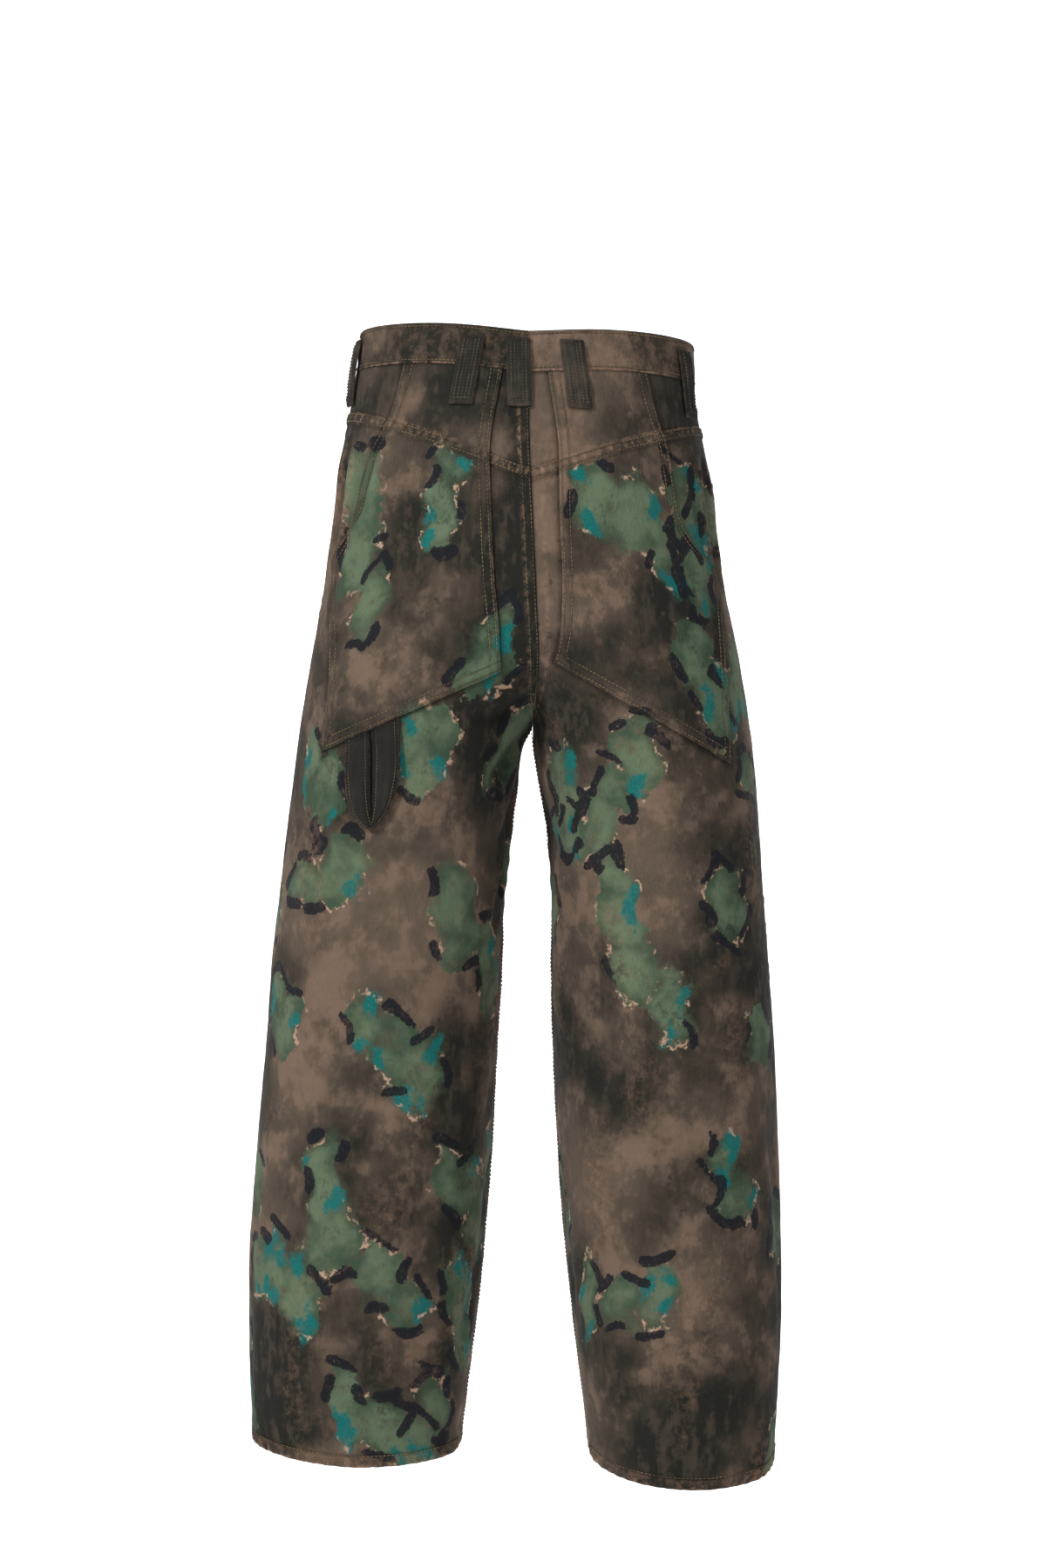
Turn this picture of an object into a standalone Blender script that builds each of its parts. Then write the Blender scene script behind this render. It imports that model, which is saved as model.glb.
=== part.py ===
"""Baggy barrel-leg jeans in the hollow form that they have when worn.

Metres, +Z up. The front faces -Y and the wearer's left is at +X. The origin is the middle of
the waist, half way up the waistband. A point of the cloth is given by its side (left or right),
its angle round that side's section (0 at the hip, 90 at the back, -90 at the front, 180 at the
inner leg) and its drop below the waist's top edge.
"""
import bpy
import numpy as np

LEFT, RIGHT = 1, -1
SIDES = (("left", LEFT), ("right", RIGHT))

# Driving sizes
WAIST_TOP = 0.020          # height of the waist's top edge over the origin
CROTCH = 0.353             # drop of the lowest point of the seat seam
HEM = 1.0145               # drop of the hem at its sides
TILT = 0.04                # the garment sits higher on the left: rise per metre across
SQUARE = 2.2               # power of the sections: 2 is an ellipse, more is squarer

CLOTH = 0.0015             # wall of one layer of denim
SEAM_GAP = 0.0003          # pieces lie this far apart at their seams
LAY_GAP = 0.0009           # what lies on a panel stands this far off it
BAND_THICK = 0.0025
LOOP_THICK = 0.0025
STRAP_THICK = 0.0030

BAND_HEIGHT = 0.037
YOKE_SIDE = 0.0745         # drop of the yoke seam at the hip
YOKE_POINT = 0.050         # how much lower its V is at the centre back
MOUTH_END = 0.125          # drop of the lower end of a front pocket mouth
MOUTH_SHARE = 0.53         # share of the way from side seam to middle seam that a mouth spans at its top
MOUTH_PROUD = 0.0028       # how far the lower end of a mouth stands off the hip
HEM_DEEP = 0.012           # depth of the turned-up hem
HEM_DIP = {LEFT: 0.013, RIGHT: 0.020}     # how much lower the hem is at the back
SIDE_CROTCH = 0.335        # drop, at the hip, of the row of points that meets the crotch

# Sections of the trunk and legs: reach of each side from the middle, and depth
# Columns: drop, left, right, back, front, and how much deeper the right leg is both ways
FORM = np.array((
    (0.000, 0.1520, 0.1504, 0.100, -0.100, 0.000),
    (0.040, 0.1565, 0.1515, 0.106, -0.106, 0.000),
    (0.080, 0.1632, 0.1572, 0.112, -0.111, 0.000),
    (0.130, 0.1722, 0.1668, 0.120, -0.115, 0.000),
    (0.180, 0.1771, 0.1712, 0.126, -0.118, 0.000),
    (0.220, 0.1828, 0.1768, 0.128, -0.119, 0.000),
    (0.270, 0.1923, 0.1886, 0.127, -0.119, 0.000),
    (0.340, 0.2034, 0.2003, 0.121, -0.117, 0.000),
    (0.420, 0.2154, 0.2090, 0.115, -0.115, 0.003),
    (0.540, 0.2290, 0.2184, 0.107, -0.113, 0.005),
    (0.680, 0.2420, 0.2263, 0.104, -0.113, 0.006),
    (0.800, 0.2510, 0.2297, 0.103, -0.107, 0.007),
    (0.880, 0.2550, 0.2303, 0.098, -0.096, 0.008),
    (0.950, 0.2535, 0.2275, 0.088, -0.076, 0.009),
    (1.040, 0.2497, 0.2220, 0.074, -0.056, 0.009),
))

# Inner edge of each leg's section below the crotch, from the middle
# Columns: drop, left, right
INNER = np.array((
    (0.353, -0.0040, 0.0040),
    (0.378, 0.0064, 0.0064),
    (0.410, 0.0112, 0.0116),
    (0.440, 0.0160, 0.0176),
    (0.475, 0.0200, 0.0208),
    (0.570, 0.0256, 0.0228),
    (0.730, 0.0344, 0.0288),
    (0.890, 0.0472, 0.0416),
    (0.970, 0.0584, 0.0520),
    (1.040, 0.0665, 0.0600),
))

# How far a side's section would reach past the middle, as a share of its reach outwards:
# 1 is one oval round both sides, 0 is two legs that just meet
# Columns: drop, share
JOIN = np.array((
    (0.000, 1.000), (0.200, 1.000), (0.240, 0.800), (0.280, 0.500), (0.315, 0.200), (0.330, 0.100),
    (0.340, 0.045), (0.347, 0.017), (0.353, 0.000)))

# The seam down the middle isn't quite straight: its place from side to side
# Columns: drop, across
MIDDLE = np.array((
    (0.00, 0.000), (0.10, -0.001), (0.17, -0.004), (0.25, -0.0075), (0.29, -0.009), (0.353, -0.004)))

# Angles of the side seam, which swings forward down the leg, and of the inner leg seam
# Columns: drop, side seam, inner leg seam
SEAMS = np.array((
    (0.000, -4.0, 180.0),
    (0.200, -4.0, 180.0),
    (0.353, -10.0, 180.0),
    (0.600, -14.0, 187.0),
    (1.040, -10.0, 187.0),
))

# The main folds: soft troughs that fan out from the crotch
# Columns: side, angle and drop of the start, angle and drop of the end, bow, depth, width
FOLDS = (
    (LEFT, 152, 0.300, 118, 0.360, 0.010, 0.0050, 0.010),
    (LEFT, 168, 0.325, 132, 0.412, 0.012, 0.0065, 0.011),
    (LEFT, 178, 0.365, 150, 0.470, 0.010, 0.0045, 0.010),
    (RIGHT, 160, 0.325, 138, 0.410, 0.008, 0.0035, 0.010),
    (RIGHT, 174, 0.370, 155, 0.480, 0.008, 0.0040, 0.011),
    (LEFT, -150, 0.300, -112, 0.345, -0.010, 0.0045, 0.010),
    (LEFT, -166, 0.330, -128, 0.400, -0.010, 0.0055, 0.011),
    (RIGHT, -152, 0.305, -115, 0.352, -0.010, 0.0045, 0.010),
    (RIGHT, -162, 0.338, -128, 0.415, -0.010, 0.0048, 0.011),
)
FOLD_RADIUS = 0.115        # turns a fold's angles into lengths round the leg
FOLD_FADE = 0.022          # folds fade out this near to the middle seam

# Back pockets: the inner edge, and the outer edge with its scooped hand opening
# Columns: drop, across
POCKETS = {
    LEFT: dict(
        inner=np.array(((0.040, 0.0234), (0.1165, 0.0341), (0.171, 0.0325), (0.225, 0.0302), (0.270, 0.0263),
                        (0.3103, 0.0248))),
        outer=np.array(((0.040, 0.1109), (0.089, 0.1249), (0.106, 0.1344), (0.127, 0.1430), (0.150, 0.1480),
                        (0.174, 0.1535), (0.194, 0.1634), (0.217, 0.1735), (0.250, 0.1765), (0.298, 0.1770),
                        (0.3455, 0.1785), (0.3875, 0.1821)))),
    RIGHT: dict(
        inner=np.array(((0.040, 0.0176), (0.1147, 0.0269), (0.169, 0.0275), (0.228, 0.0298), (0.268, 0.0290),
                        (0.2999, 0.0229))),
        outer=np.array(((0.040, 0.1052), (0.087, 0.1177), (0.104, 0.1239), (0.131, 0.1278), (0.160, 0.1317),
                        (0.179, 0.1395), (0.197, 0.1522), (0.207, 0.1650), (0.237, 0.1715), (0.273, 0.1743),
                        (0.334, 0.1782), (0.384, 0.1798)))),
}

# The edge of the hand opening stands off the panel: how far, about which drop, and how far that reaches
POCKET_LIP = 0.0012
LIP_DROP = 0.185
LIP_LONG = 0.045           # along the edge
LIP_WIDE = 0.25            # inwards, as a share of the pocket

# Belt loops: angle of the centre line at its top and foot, drop of both, and how each is carried
LOOP_WIDE = 0.0215
# Columns: name, side, angle and foot angle, drop and foot drop, bow, whether over a pocket
LOOPS = (
    ("belt_loop_back_left", LEFT, 63.5, 60.5, 0.0125, 0.0750, 0.0015, True),
    ("belt_loop_back_centre", LEFT, 84.9, 85.7, 0.0135, 0.0750, 0.0020, False),
    ("belt_loop_back_right", RIGHT, 69.2, 67.6, 0.0130, 0.0750, 0.0015, True),
    ("belt_loop_side_left", LEFT, 7.0, 8.0, 0.0110, 0.0720, 0.0032, False),
    ("belt_loop_side_right", RIGHT, 18.0, 17.0, 0.0120, 0.0735, 0.0025, False),
    ("belt_loop_front_left", LEFT, -54.0, -54.0, 0.0180, 0.0800, 0.0020, False),
    ("belt_loop_front_right", RIGHT, -54.0, -54.0, 0.0180, 0.0800, 0.0020, False),
)
LOOP_CLEAR = 0.0006        # between a loop's ends and what they are sewn to

# Hammer loop: a strap that runs down, round a point and up again; its outer edge and its slit,
# across from the middle and below the hem of the left back pocket
# Columns: share of the way, edge across, edge below, slit across, slit below
STRAP = np.array((
    (0.00, 0.1606, 0.0006, 0.1402, 0.0006),
    (0.22, 0.1612, 0.0250, 0.1388, 0.0290),
    (0.38, 0.1548, 0.0570, 0.1385, 0.0640),
    (0.50, 0.1378, 0.0882, 0.1378, 0.0837),
    (0.62, 0.1215, 0.0690, 0.1370, 0.0645),
    (0.78, 0.1130, 0.0395, 0.1367, 0.0300),
    (1.00, 0.1142, 0.0006, 0.1382, 0.0006),
))
STRAP_PROUD = 0.0055       # how far the strap bows off the leg half way down

# Fly and button
FLY_WIDE = 0.038
FLY_END = 0.205
FLY_ROUND = 0.035          # height of the curve at its foot
BUTTON_WIDE = 0.017
BUTTON_TALL = 0.0045
BUTTON_TURNS = 24

# The waistband laps over itself at the front: degrees past the centre front, and its rise there
UNDER_LAP, OVER_LAP = 6.0, 9.0
LAP_RISE = 0.0032
LAP_RAMP = 20.0

# Points along the pieces
TRUNK_ROWS = 9             # from the mouth's end to the crotch
UPPER_BACK_ROWS = 2        # from the yoke seam to the level of the mouth's end
MOUTH_ROWS = 7
FACING_GAP = 0.0012        # between a front panel and the facing behind its pocket mouth
LEG_ROWS = 17
BACK_COLUMNS = 14
FRONT_COLUMNS = 12


def smooth(at, table, column):
    """A table's column at any place of its first column: cubic pieces that don't overshoot."""
    places = table[:, 0]
    values = table[:, column]
    step = np.diff(places)
    rise = np.diff(values) / step
    slope = np.zeros(len(values))
    slope[0], slope[-1] = rise[0], rise[-1]
    before = 2 * step[1:] + step[:-1]
    after = step[1:] + 2 * step[:-1]
    level = rise[:-1] * rise[1:] <= 0
    safe = np.where(level, 1.0, rise[:-1]), np.where(level, 1.0, rise[1:])
    slope[1:-1] = np.where(level, 0.0, (before + after) / (before / safe[0] + after / safe[1]))
    at = np.clip(at, places[0], places[-1])
    row = np.clip(np.searchsorted(places, at) - 1, 0, len(step) - 1)
    part = (at - places[row]) / step[row]
    rest = 1 - part
    return (values[row] * (1 + 2 * part) * rest ** 2 + values[row + 1] * part ** 2 * (3 - 2 * part)
            + step[row] * part * rest * (slope[row] * rest - slope[row + 1] * part))


def ease(value):
    """0 to 1 with level ends."""
    value = np.clip(value, 0.0, 1.0)
    return value * value * (3 - 2 * value)


def section(side, drop):
    """One side's section at a drop: its middle plane, centre, half width, centre depth, half depth."""
    outer = smooth(drop, FORM, 1 if side == LEFT else 2)
    deeper = smooth(drop, FORM, 5) if side == RIGHT else 0.0
    back = smooth(drop, FORM, 3) + deeper
    front = smooth(drop, FORM, 4) - deeper
    middle = side * smooth(drop, MIDDLE, 1)
    joined = middle - smooth(drop, JOIN, 1) * (outer - middle)
    inner = np.where(drop < CROTCH, joined, smooth(drop, INNER, 1 if side == LEFT else 2))
    return middle, (outer + inner) / 2, (outer - inner) / 2, (back + front) / 2, (back - front) / 2


def middle_angle(side, drop):
    """The angle at which a side's section meets the middle seam, at the back; 180 from the crotch down."""
    middle, centre, half, _, deep = section(side, drop)
    across = np.clip((middle - centre) / half, -1.0, 0.0)
    up = deep * (1 - np.abs(across) ** SQUARE) ** (1 / SQUARE)
    return np.degrees(np.arctan2(up, across * half))


def plain_surface(side, angle, drop):
    """A point of the cloth with no folds."""
    _, centre, half, middle_depth, deep = section(side, drop)
    turn = np.radians(angle)
    reach = (np.abs(np.cos(turn) / half) ** SQUARE + np.abs(np.sin(turn) / deep) ** SQUARE) ** (-1 / SQUARE)
    across = side * (centre + reach * np.cos(turn))
    depth = middle_depth + reach * np.sin(turn)
    return np.stack((across, depth, WAIST_TOP - drop + TILT * across), axis=-1)


def outward(shape, side, angle, drop):
    """The unit vector that points out of a surface, from small steps along it."""
    turn, fall = 0.4, 0.0008
    around = shape(side, angle + turn, drop) - shape(side, angle - turn, drop)
    down = shape(side, angle, drop + fall) - shape(side, angle, drop - fall)
    normal = side * np.cross(down, around)
    return normal / np.linalg.norm(normal, axis=-1, keepdims=True)


def fold_depth(side, angle, drop):
    """How far the main folds sink the cloth: each a trough along a bowed line, thin at its ends."""
    sunk = np.zeros(np.broadcast(angle, drop).shape)
    for fold_side, angle_a, drop_a, angle_b, drop_b, bow, deep, wide in FOLDS:
        if fold_side != side:
            continue
        start = np.array((np.radians(angle_a) * FOLD_RADIUS, drop_a))
        run = np.array((np.radians(angle_b) * FOLD_RADIUS, drop_b)) - start
        length = np.hypot(*run)
        run = run / length
        off = np.radians(angle) * FOLD_RADIUS - start[0], drop - start[1]
        along = (off[0] * run[0] + off[1] * run[1]) / length
        aside = off[0] * run[1] - off[1] * run[0] - 4 * bow * along * (1 - along)
        ends = ease(along / 0.25 + 0.5) * ease((1 - along) / 0.35 + 0.3)
        sunk = sunk + deep * ends * np.exp(-(aside / wide) ** 2)
    return sunk


def surface(side, angle, drop):
    """A point of the cloth, folds and all."""
    flat = plain_surface(side, angle, drop)
    normal = outward(plain_surface, side, angle, drop)
    fade = ease((side * flat[..., 0] - side * smooth(drop, MIDDLE, 1)) / FOLD_FADE)
    return flat - normal * (fade * fold_depth(side, angle, drop))[..., None]


def level_drop(side, angle, drop):
    """Drop of a level at an angle: levels wave at the waist, dip to the yoke's V and at the hem."""
    turn = np.radians(angle)
    sine = np.sin(turn)
    waist = 0.003 - 0.003 * np.sin(2 * np.abs(turn)) + np.where(sine > 0, 0.003, 0.012) * sine ** 6
    waist = waist * (1 - ease((drop - BAND_HEIGHT) / 0.16))
    across = plain_surface(LEFT, angle, np.full(np.shape(angle), YOKE_SIDE))[..., 0] / smooth(YOKE_SIDE, FORM, 1)
    vee = np.where(sine > 0, 1 - across, 0.0)
    vee = vee * YOKE_POINT * np.interp(drop, (BAND_HEIGHT, YOKE_SIDE, 0.32), (0.0, 1.0, 0.0))
    dip = HEM_DIP[side] * sine * np.clip((drop - 0.6) / (HEM - 0.6), 0.0, None) ** 2
    return drop + waist + vee + dip


def seam_angles(side, back, drop):
    """Angles of the side seam, and of the seam at the middle or the inner leg, at any drop."""
    hip = smooth(drop, SEAMS, 1)
    middle = middle_angle(side, drop)
    leg = smooth(drop, SEAMS, 2)
    if back:
        return hip, np.where(drop < CROTCH, middle, leg)
    return hip, np.where(drop < CROTCH, -middle, leg - 360.0)


def even(side, angle, drop, columns):
    """Points evenly spaced along each row of closely spaced ones."""
    shares = np.linspace(0, 1, columns + 1)
    angles, drops = [], []
    for row_angle, row_drop in zip(angle, drop):
        run = np.linalg.norm(np.diff(plain_surface(side, row_angle, row_drop), axis=0), axis=1)
        share = np.concatenate(((0.0,), np.cumsum(run))) / run.sum()
        angles.append(np.interp(shares, share, row_angle))
        drops.append(np.interp(shares, share, row_drop))
    return np.array(angles), np.array(drops)


def ruled(side, back, in_level, out_level, columns, out_share=0.0):
    """Angles and drops of a panel's points, in rows from the middle or inner seam outwards.

    A row starts level at that seam. It ends at the side seam, or short of it by out_share of the way.
    """
    fine = np.linspace(0, 1, 161)[None, :]
    share = 1 - (1 - np.reshape(out_share, (-1, 1))) * fine
    level = out_level[:, None] + (in_level - out_level)[:, None] * (1 - fine ** 2)
    drop = level
    for _ in range(8):
        hip, middle = seam_angles(side, back, drop)
        angle = hip + (middle - hip) * share
        drop = level_drop(side, angle, level)
    return even(side, angle, drop, columns)


def panel_walls(side, angles, drops, out, into, middle_column=None):
    """Outer and inner points of a wall; a column on the middle seam is mitred in that plane."""
    points = surface(side, angles, drops)
    normals = outward(surface, side, angles, drops)
    if middle_column is not None:
        rows = drops[:, middle_column] <= CROTCH
        normals[rows, middle_column, 0] = 0.0
        normals /= np.linalg.norm(normals, axis=-1, keepdims=True)
    outer = points + normals * np.asarray(out)[..., None]
    inner = points - normals * np.asarray(into)[..., None]
    for wall in (outer, inner):
        nearest = side * smooth(drops, MIDDLE, 1) + SEAM_GAP / 2
        wall[..., 0] = side * np.maximum(side * wall[..., 0], nearest)
    return outer, inner


def part_edges(walls, edges):
    """Draws the named edges of a wall back by half a seam gap, so that neighbours lie a gap apart."""
    steps = {"first_column": (np.s_[:, 0], np.s_[:, 1]), "last_column": (np.s_[:, -1], np.s_[:, -2]),
             "first_row": (np.s_[0], np.s_[1]), "last_row": (np.s_[-1], np.s_[-2])}
    for wall in walls:
        for edge in edges:
            border, beside = steps[edge]
            run = wall[beside] - wall[border]
            wall[border] = wall[border] + run / np.linalg.norm(run, axis=-1, keepdims=True) * SEAM_GAP / 2
    return walls


def add_object(name, points, faces, material):
    """An object with its mesh in place, its faces turned out."""
    points = np.asarray(points, dtype=float)
    volume = 0.0
    for face in faces:
        for second, third in zip(face[1:-1], face[2:]):
            volume += np.dot(points[face[0]], np.cross(points[second], points[third]))
    if volume < 0:
        faces = [face[::-1] for face in faces]
    mesh = bpy.data.meshes.new(name)
    mesh.from_pydata(points.tolist(), [], [list(face) for face in faces])
    mesh.shade_smooth()
    mesh.set_sharp_from_angle(angle=np.radians(40))
    mesh.materials.append(material)
    result = bpy.data.objects.new(name, mesh)
    bpy.context.scene.collection.objects.link(result)
    return result


def add_wall(name, walls, material):
    """A closed wall from its outer and inner grids of points, both split along the same diagonals."""
    outer, inner = walls
    rows, columns = outer.shape[:2]
    count = rows * columns
    index = np.arange(count).reshape(rows, columns)
    faces = []
    for row in range(rows - 1):
        for column in range(columns - 1):
            corner = (index[row, column], index[row, column + 1],
                      index[row + 1, column + 1], index[row + 1, column])
            falling = np.linalg.norm(outer[row, column] - outer[row + 1, column + 1])
            rising = np.linalg.norm(outer[row, column + 1] - outer[row + 1, column])
            if rising < falling:
                corner = corner[1:] + corner[:1]
            for triangle in (corner[:3], corner[2:] + corner[:1]):
                faces.append(triangle)
                faces.append(tuple(count + value for value in triangle[::-1]))
    rim = np.concatenate((index[0, :-1], index[:-1, -1], index[-1, :0:-1], index[:0:-1, 0]))
    for here, after in zip(rim, np.roll(rim, -1)):
        faces.append((here, here + count, after + count, after))
    return add_object(name, np.concatenate((outer.reshape(-1, 3), inner.reshape(-1, 3))), faces, material)


def finish(name, colour, roughness, metallic=0.0):
    """A plain material."""
    material = bpy.data.materials.new(name)
    material.use_nodes = True
    shader = material.node_tree.nodes["Principled BSDF"]
    shader.inputs["Base Color"].default_value = (*colour, 1.0)
    shader.inputs["Roughness"].default_value = roughness
    shader.inputs["Metallic"].default_value = metallic
    return material


def shared_levels():
    """Levels of the panels' rows below the pocket mouths, at the hip and at the middle or inner seam."""
    trunk_side = np.linspace(MOUTH_END, SIDE_CROTCH, TRUNK_ROWS + 1)
    share = (np.arange(1, LEG_ROWS + 1) / LEG_ROWS) ** 1.25
    hem_top = HEM - HEM_DEEP
    side = SIDE_CROTCH + (hem_top - SIDE_CROTCH) * share
    inner = CROTCH + (hem_top - CROTCH) * share
    hem = np.array((hem_top + CLOTH, HEM))
    return trunk_side, np.concatenate((side, hem)), np.concatenate((inner, hem))


def seat_levels(top, rows):
    """Levels down the middle seam to the crotch, closer together where it turns under."""
    share = np.arange(rows + 1) / rows
    return CROTCH - (CROTCH - top) * (1 - share) ** 1.45


def leg_walls(side, angles, drops, levels_side):
    """A leg panel's walls, with the turned-up hem thicker on the inside."""
    double = np.where(levels_side > HEM - HEM_DEEP + CLOTH / 2, 1.0, 0.0)[:, None]
    into = np.broadcast_to(CLOTH / 2 + double * CLOTH, angles.shape)
    return panel_walls(side, angles, drops, np.full(angles.shape, CLOTH / 2), into, middle_column=0)


def build_back_panel(name, side, denim):
    trunk_side, leg_side, leg_inner = shared_levels()
    upper = np.linspace(YOKE_SIDE, MOUTH_END, UPPER_BACK_ROWS + 1)[:-1]
    out_level = np.concatenate((upper, trunk_side, leg_side))
    in_level = np.concatenate((seat_levels(YOKE_SIDE, UPPER_BACK_ROWS + TRUNK_ROWS), leg_inner))
    angles, drops = ruled(side, True, in_level, out_level, BACK_COLUMNS)
    walls = leg_walls(side, angles, drops, out_level)
    add_wall(name, part_edges(walls, ("first_row", "first_column", "last_column")), denim)


def build_yoke(name, side, denim):
    level = np.linspace(BAND_HEIGHT, YOKE_SIDE, 4)
    angles, drops = ruled(side, True, level, level, BACK_COLUMNS)
    half = np.full(angles.shape, CLOTH / 2)
    walls = panel_walls(side, angles, drops, half, half, middle_column=0)
    add_wall(name, part_edges(walls, ("first_row", "last_row", "last_column")), denim)


def build_front_panel(name, side, denim):
    trunk_side, leg_side, leg_inner = shared_levels()
    around = np.radians(90.0 * np.linspace(0, 1, MOUTH_ROWS + 1)[:-1] ** 0.75)
    mouth_level = BAND_HEIGHT + (MOUTH_END - BAND_HEIGHT) * np.sin(around)
    out_level = np.concatenate((mouth_level, trunk_side, leg_side))
    out_share = np.zeros(len(out_level))
    out_share[:MOUTH_ROWS] = MOUTH_SHARE * np.cos(around)
    in_level = np.concatenate((seat_levels(BAND_HEIGHT, MOUTH_ROWS + TRUNK_ROWS), leg_inner))
    angles, drops = ruled(side, False, in_level, out_level, FRONT_COLUMNS, out_share)
    outer, inner = leg_walls(side, angles, drops, out_level)
    proud = mouth_rise(side, angles, drops)
    walls = part_edges((outer + proud, inner + proud), ("first_row", "first_column", "last_column"))
    add_wall(name, walls, denim)


def mouth_rise(side, angles, drops):
    """The lower end of a front pocket mouth stands off the hip and fades below and forward."""
    from_end = drops - level_drop(side, angles, np.full(angles.shape, MOUTH_END))
    from_seam = angles - smooth(drops, SEAMS, 1)
    rise = MOUTH_PROUD * np.exp(-(from_seam / 22.0) ** 2) * np.exp(-(from_end / 0.045) ** 2)
    return outward(surface, side, angles, drops) * rise[..., None]


def build_facing(name, side, denim):
    level = np.linspace(BAND_HEIGHT, MOUTH_END + 0.025, 6)
    columns = 7
    share = np.linspace(MOUTH_SHARE + 0.06, 0.0, columns + 1)[None, :]
    level = np.broadcast_to(level[:, None], (6, columns + 1))
    drop = level
    for _ in range(8):
        hip, middle = seam_angles(side, False, drop)
        angle = hip - 0.6 + (middle - hip) * share
        drop = level_drop(side, angle, level)
    behind = CLOTH + FACING_GAP
    walls = panel_walls(side, angle, drop, np.full(angle.shape, CLOTH / 2 - behind),
                        np.full(angle.shape, CLOTH / 2 + behind))
    add_wall(name, part_edges(walls, ("first_row",)), denim)


def angle_at(side, across, drop):
    """The angle, on the back, of a point at a distance across from the middle."""
    _, centre, half, _, deep = section(side, drop)
    beside = np.clip((across - centre) / half, -0.9995, 0.9995)
    up = deep * (1 - np.abs(beside) ** SQUARE) ** (1 / SQUARE)
    return np.degrees(np.arctan2(up, beside * half))


def laid_walls(side, angles, drops, base, thick):
    """Outer and inner points of what lies on the cloth, its inner face at base above the cloth's middle."""
    base = np.broadcast_to(base, angles.shape)
    return panel_walls(side, angles, drops, base + thick, -base)


def pocket_hem(side, across):
    """Drop of a back pocket's slanted lower edge."""
    corner, tip = POCKETS[side]["inner"][-1], POCKETS[side]["outer"][-1]
    return corner[0] + (tip[0] - corner[0]) * (across - corner[1]) / (tip[1] - corner[1])


def build_back_pocket(name, side, denim):
    rows, columns = 22, 13
    edges = POCKETS[side]
    share = np.linspace(0, 1, rows + 1)[:, None]
    top = BAND_HEIGHT + 2 * SEAM_GAP
    inner_drop = top + (edges["inner"][-1, 0] - top) * share
    outer_drop = top + (edges["outer"][-1, 0] - top) * share
    inner_across = smooth(inner_drop, edges["inner"], 1)
    outer_across = smooth(outer_drop, edges["outer"], 1)
    part = np.linspace(0, 1, 161)[None, :]
    across = inner_across + (outer_across - inner_across) * part
    drop = inner_drop + (outer_drop - inner_drop) * part
    first = angle_at(side, across[0], drop[0])
    waved = level_drop(side, first, np.full(first.shape, BAND_HEIGHT)) - BAND_HEIGHT
    drop = drop + waved[None, :] * (1 - share) ** 2
    angles, drops = even(side, angle_at(side, across, drop), drop, columns)
    beside = (1 - np.linspace(0, 1, columns + 1)[None, :]) / LIP_WIDE
    beyond = (outer_drop - LIP_DROP) / LIP_LONG
    lip = POCKET_LIP * np.exp(-beside ** 2 - beyond ** 2)
    add_wall(name, laid_walls(side, angles, drops, CLOTH / 2 + LAY_GAP + lip, CLOTH), denim)


def build_belt_loop(name, side, top_angle, foot_angle, top_drop, foot_drop, bow, over_pocket, denim):
    share = np.linspace(0, 1, 9)[:, None]
    aside = np.linspace(-0.5, 0.5, 4)[None, :] * LOOP_WIDE
    angle = top_angle + (foot_angle - top_angle) * share
    drop = np.broadcast_to(top_drop + (foot_drop - top_drop) * share, (9, 4))
    turn = 0.5
    speed = np.linalg.norm(plain_surface(side, angle + turn, drop[:, :1])
                           - plain_surface(side, angle - turn, drop[:, :1]), axis=-1) / (2 * turn)
    angles = angle + aside / speed
    foot_base = CLOTH / 2 + ((LAY_GAP + CLOTH) if over_pocket else 0.0)
    base = BAND_THICK / 2 + (foot_base - BAND_THICK / 2) * ease((share - 0.35) / 0.4) + LOOP_CLEAR
    base = base + bow * np.sin(np.pi * share) ** 0.7
    if not over_pocket:
        base = np.maximum(base, BAND_THICK / 2 + LOOP_CLEAR)
    add_wall(name, laid_walls(side, angles, drop, base, LOOP_THICK), denim)


def build_hammer_loop(name, denim):
    along = np.linspace(0, 1, 19)
    part = np.linspace(0, 1, 4)[None, :]
    edge_across, edge_below, slit_across, slit_below = (
        smooth(along, STRAP, column)[:, None] for column in (1, 2, 3, 4))
    across = edge_across + (slit_across - edge_across) * part
    below = edge_below + (slit_below - edge_below) * part
    drop = pocket_hem(LEFT, across) + below
    base = CLOTH / 2 + LOOP_CLEAR + STRAP_PROUD * ease(below / 0.06) * (0.6 + 0.4 * np.sin(np.pi * part))
    add_wall(name, laid_walls(LEFT, angle_at(LEFT, across, drop), drop, base, STRAP_THICK), denim)


def build_waistband(name, denim):
    """A strip once round the waist, from its under end at the front to its upper end lapped over that."""
    turns = np.linspace(-UNDER_LAP, 360.0 + OVER_LAP, 61)
    level = np.linspace(0.0, BAND_HEIGHT, 3)
    grid_turn, grid_level = np.meshgrid(turns, level)
    rise = LAP_RISE * ease((grid_turn - (360.0 - LAP_RAMP - UNDER_LAP)) / LAP_RAMP)
    turn = np.mod(grid_turn, 360.0)
    outer = np.zeros(turn.shape + (3,))
    inner = np.zeros(turn.shape + (3,))
    for side, here in ((RIGHT, turn <= 180.0), (LEFT, turn > 180.0)):
        angle = np.where(side == RIGHT, turn - 90.0, 270.0 - turn)
        drop = level_drop(side, angle, grid_level)
        point = plain_surface(side, angle, drop)
        normal = outward(plain_surface, side, angle, drop)
        outer[here] = (point + normal * (BAND_THICK / 2 + rise)[..., None])[here]
        inner[here] = (point - normal * (BAND_THICK / 2 - rise)[..., None])[here]
    add_wall(name, part_edges((outer, inner), ("last_row",)), denim)


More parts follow.
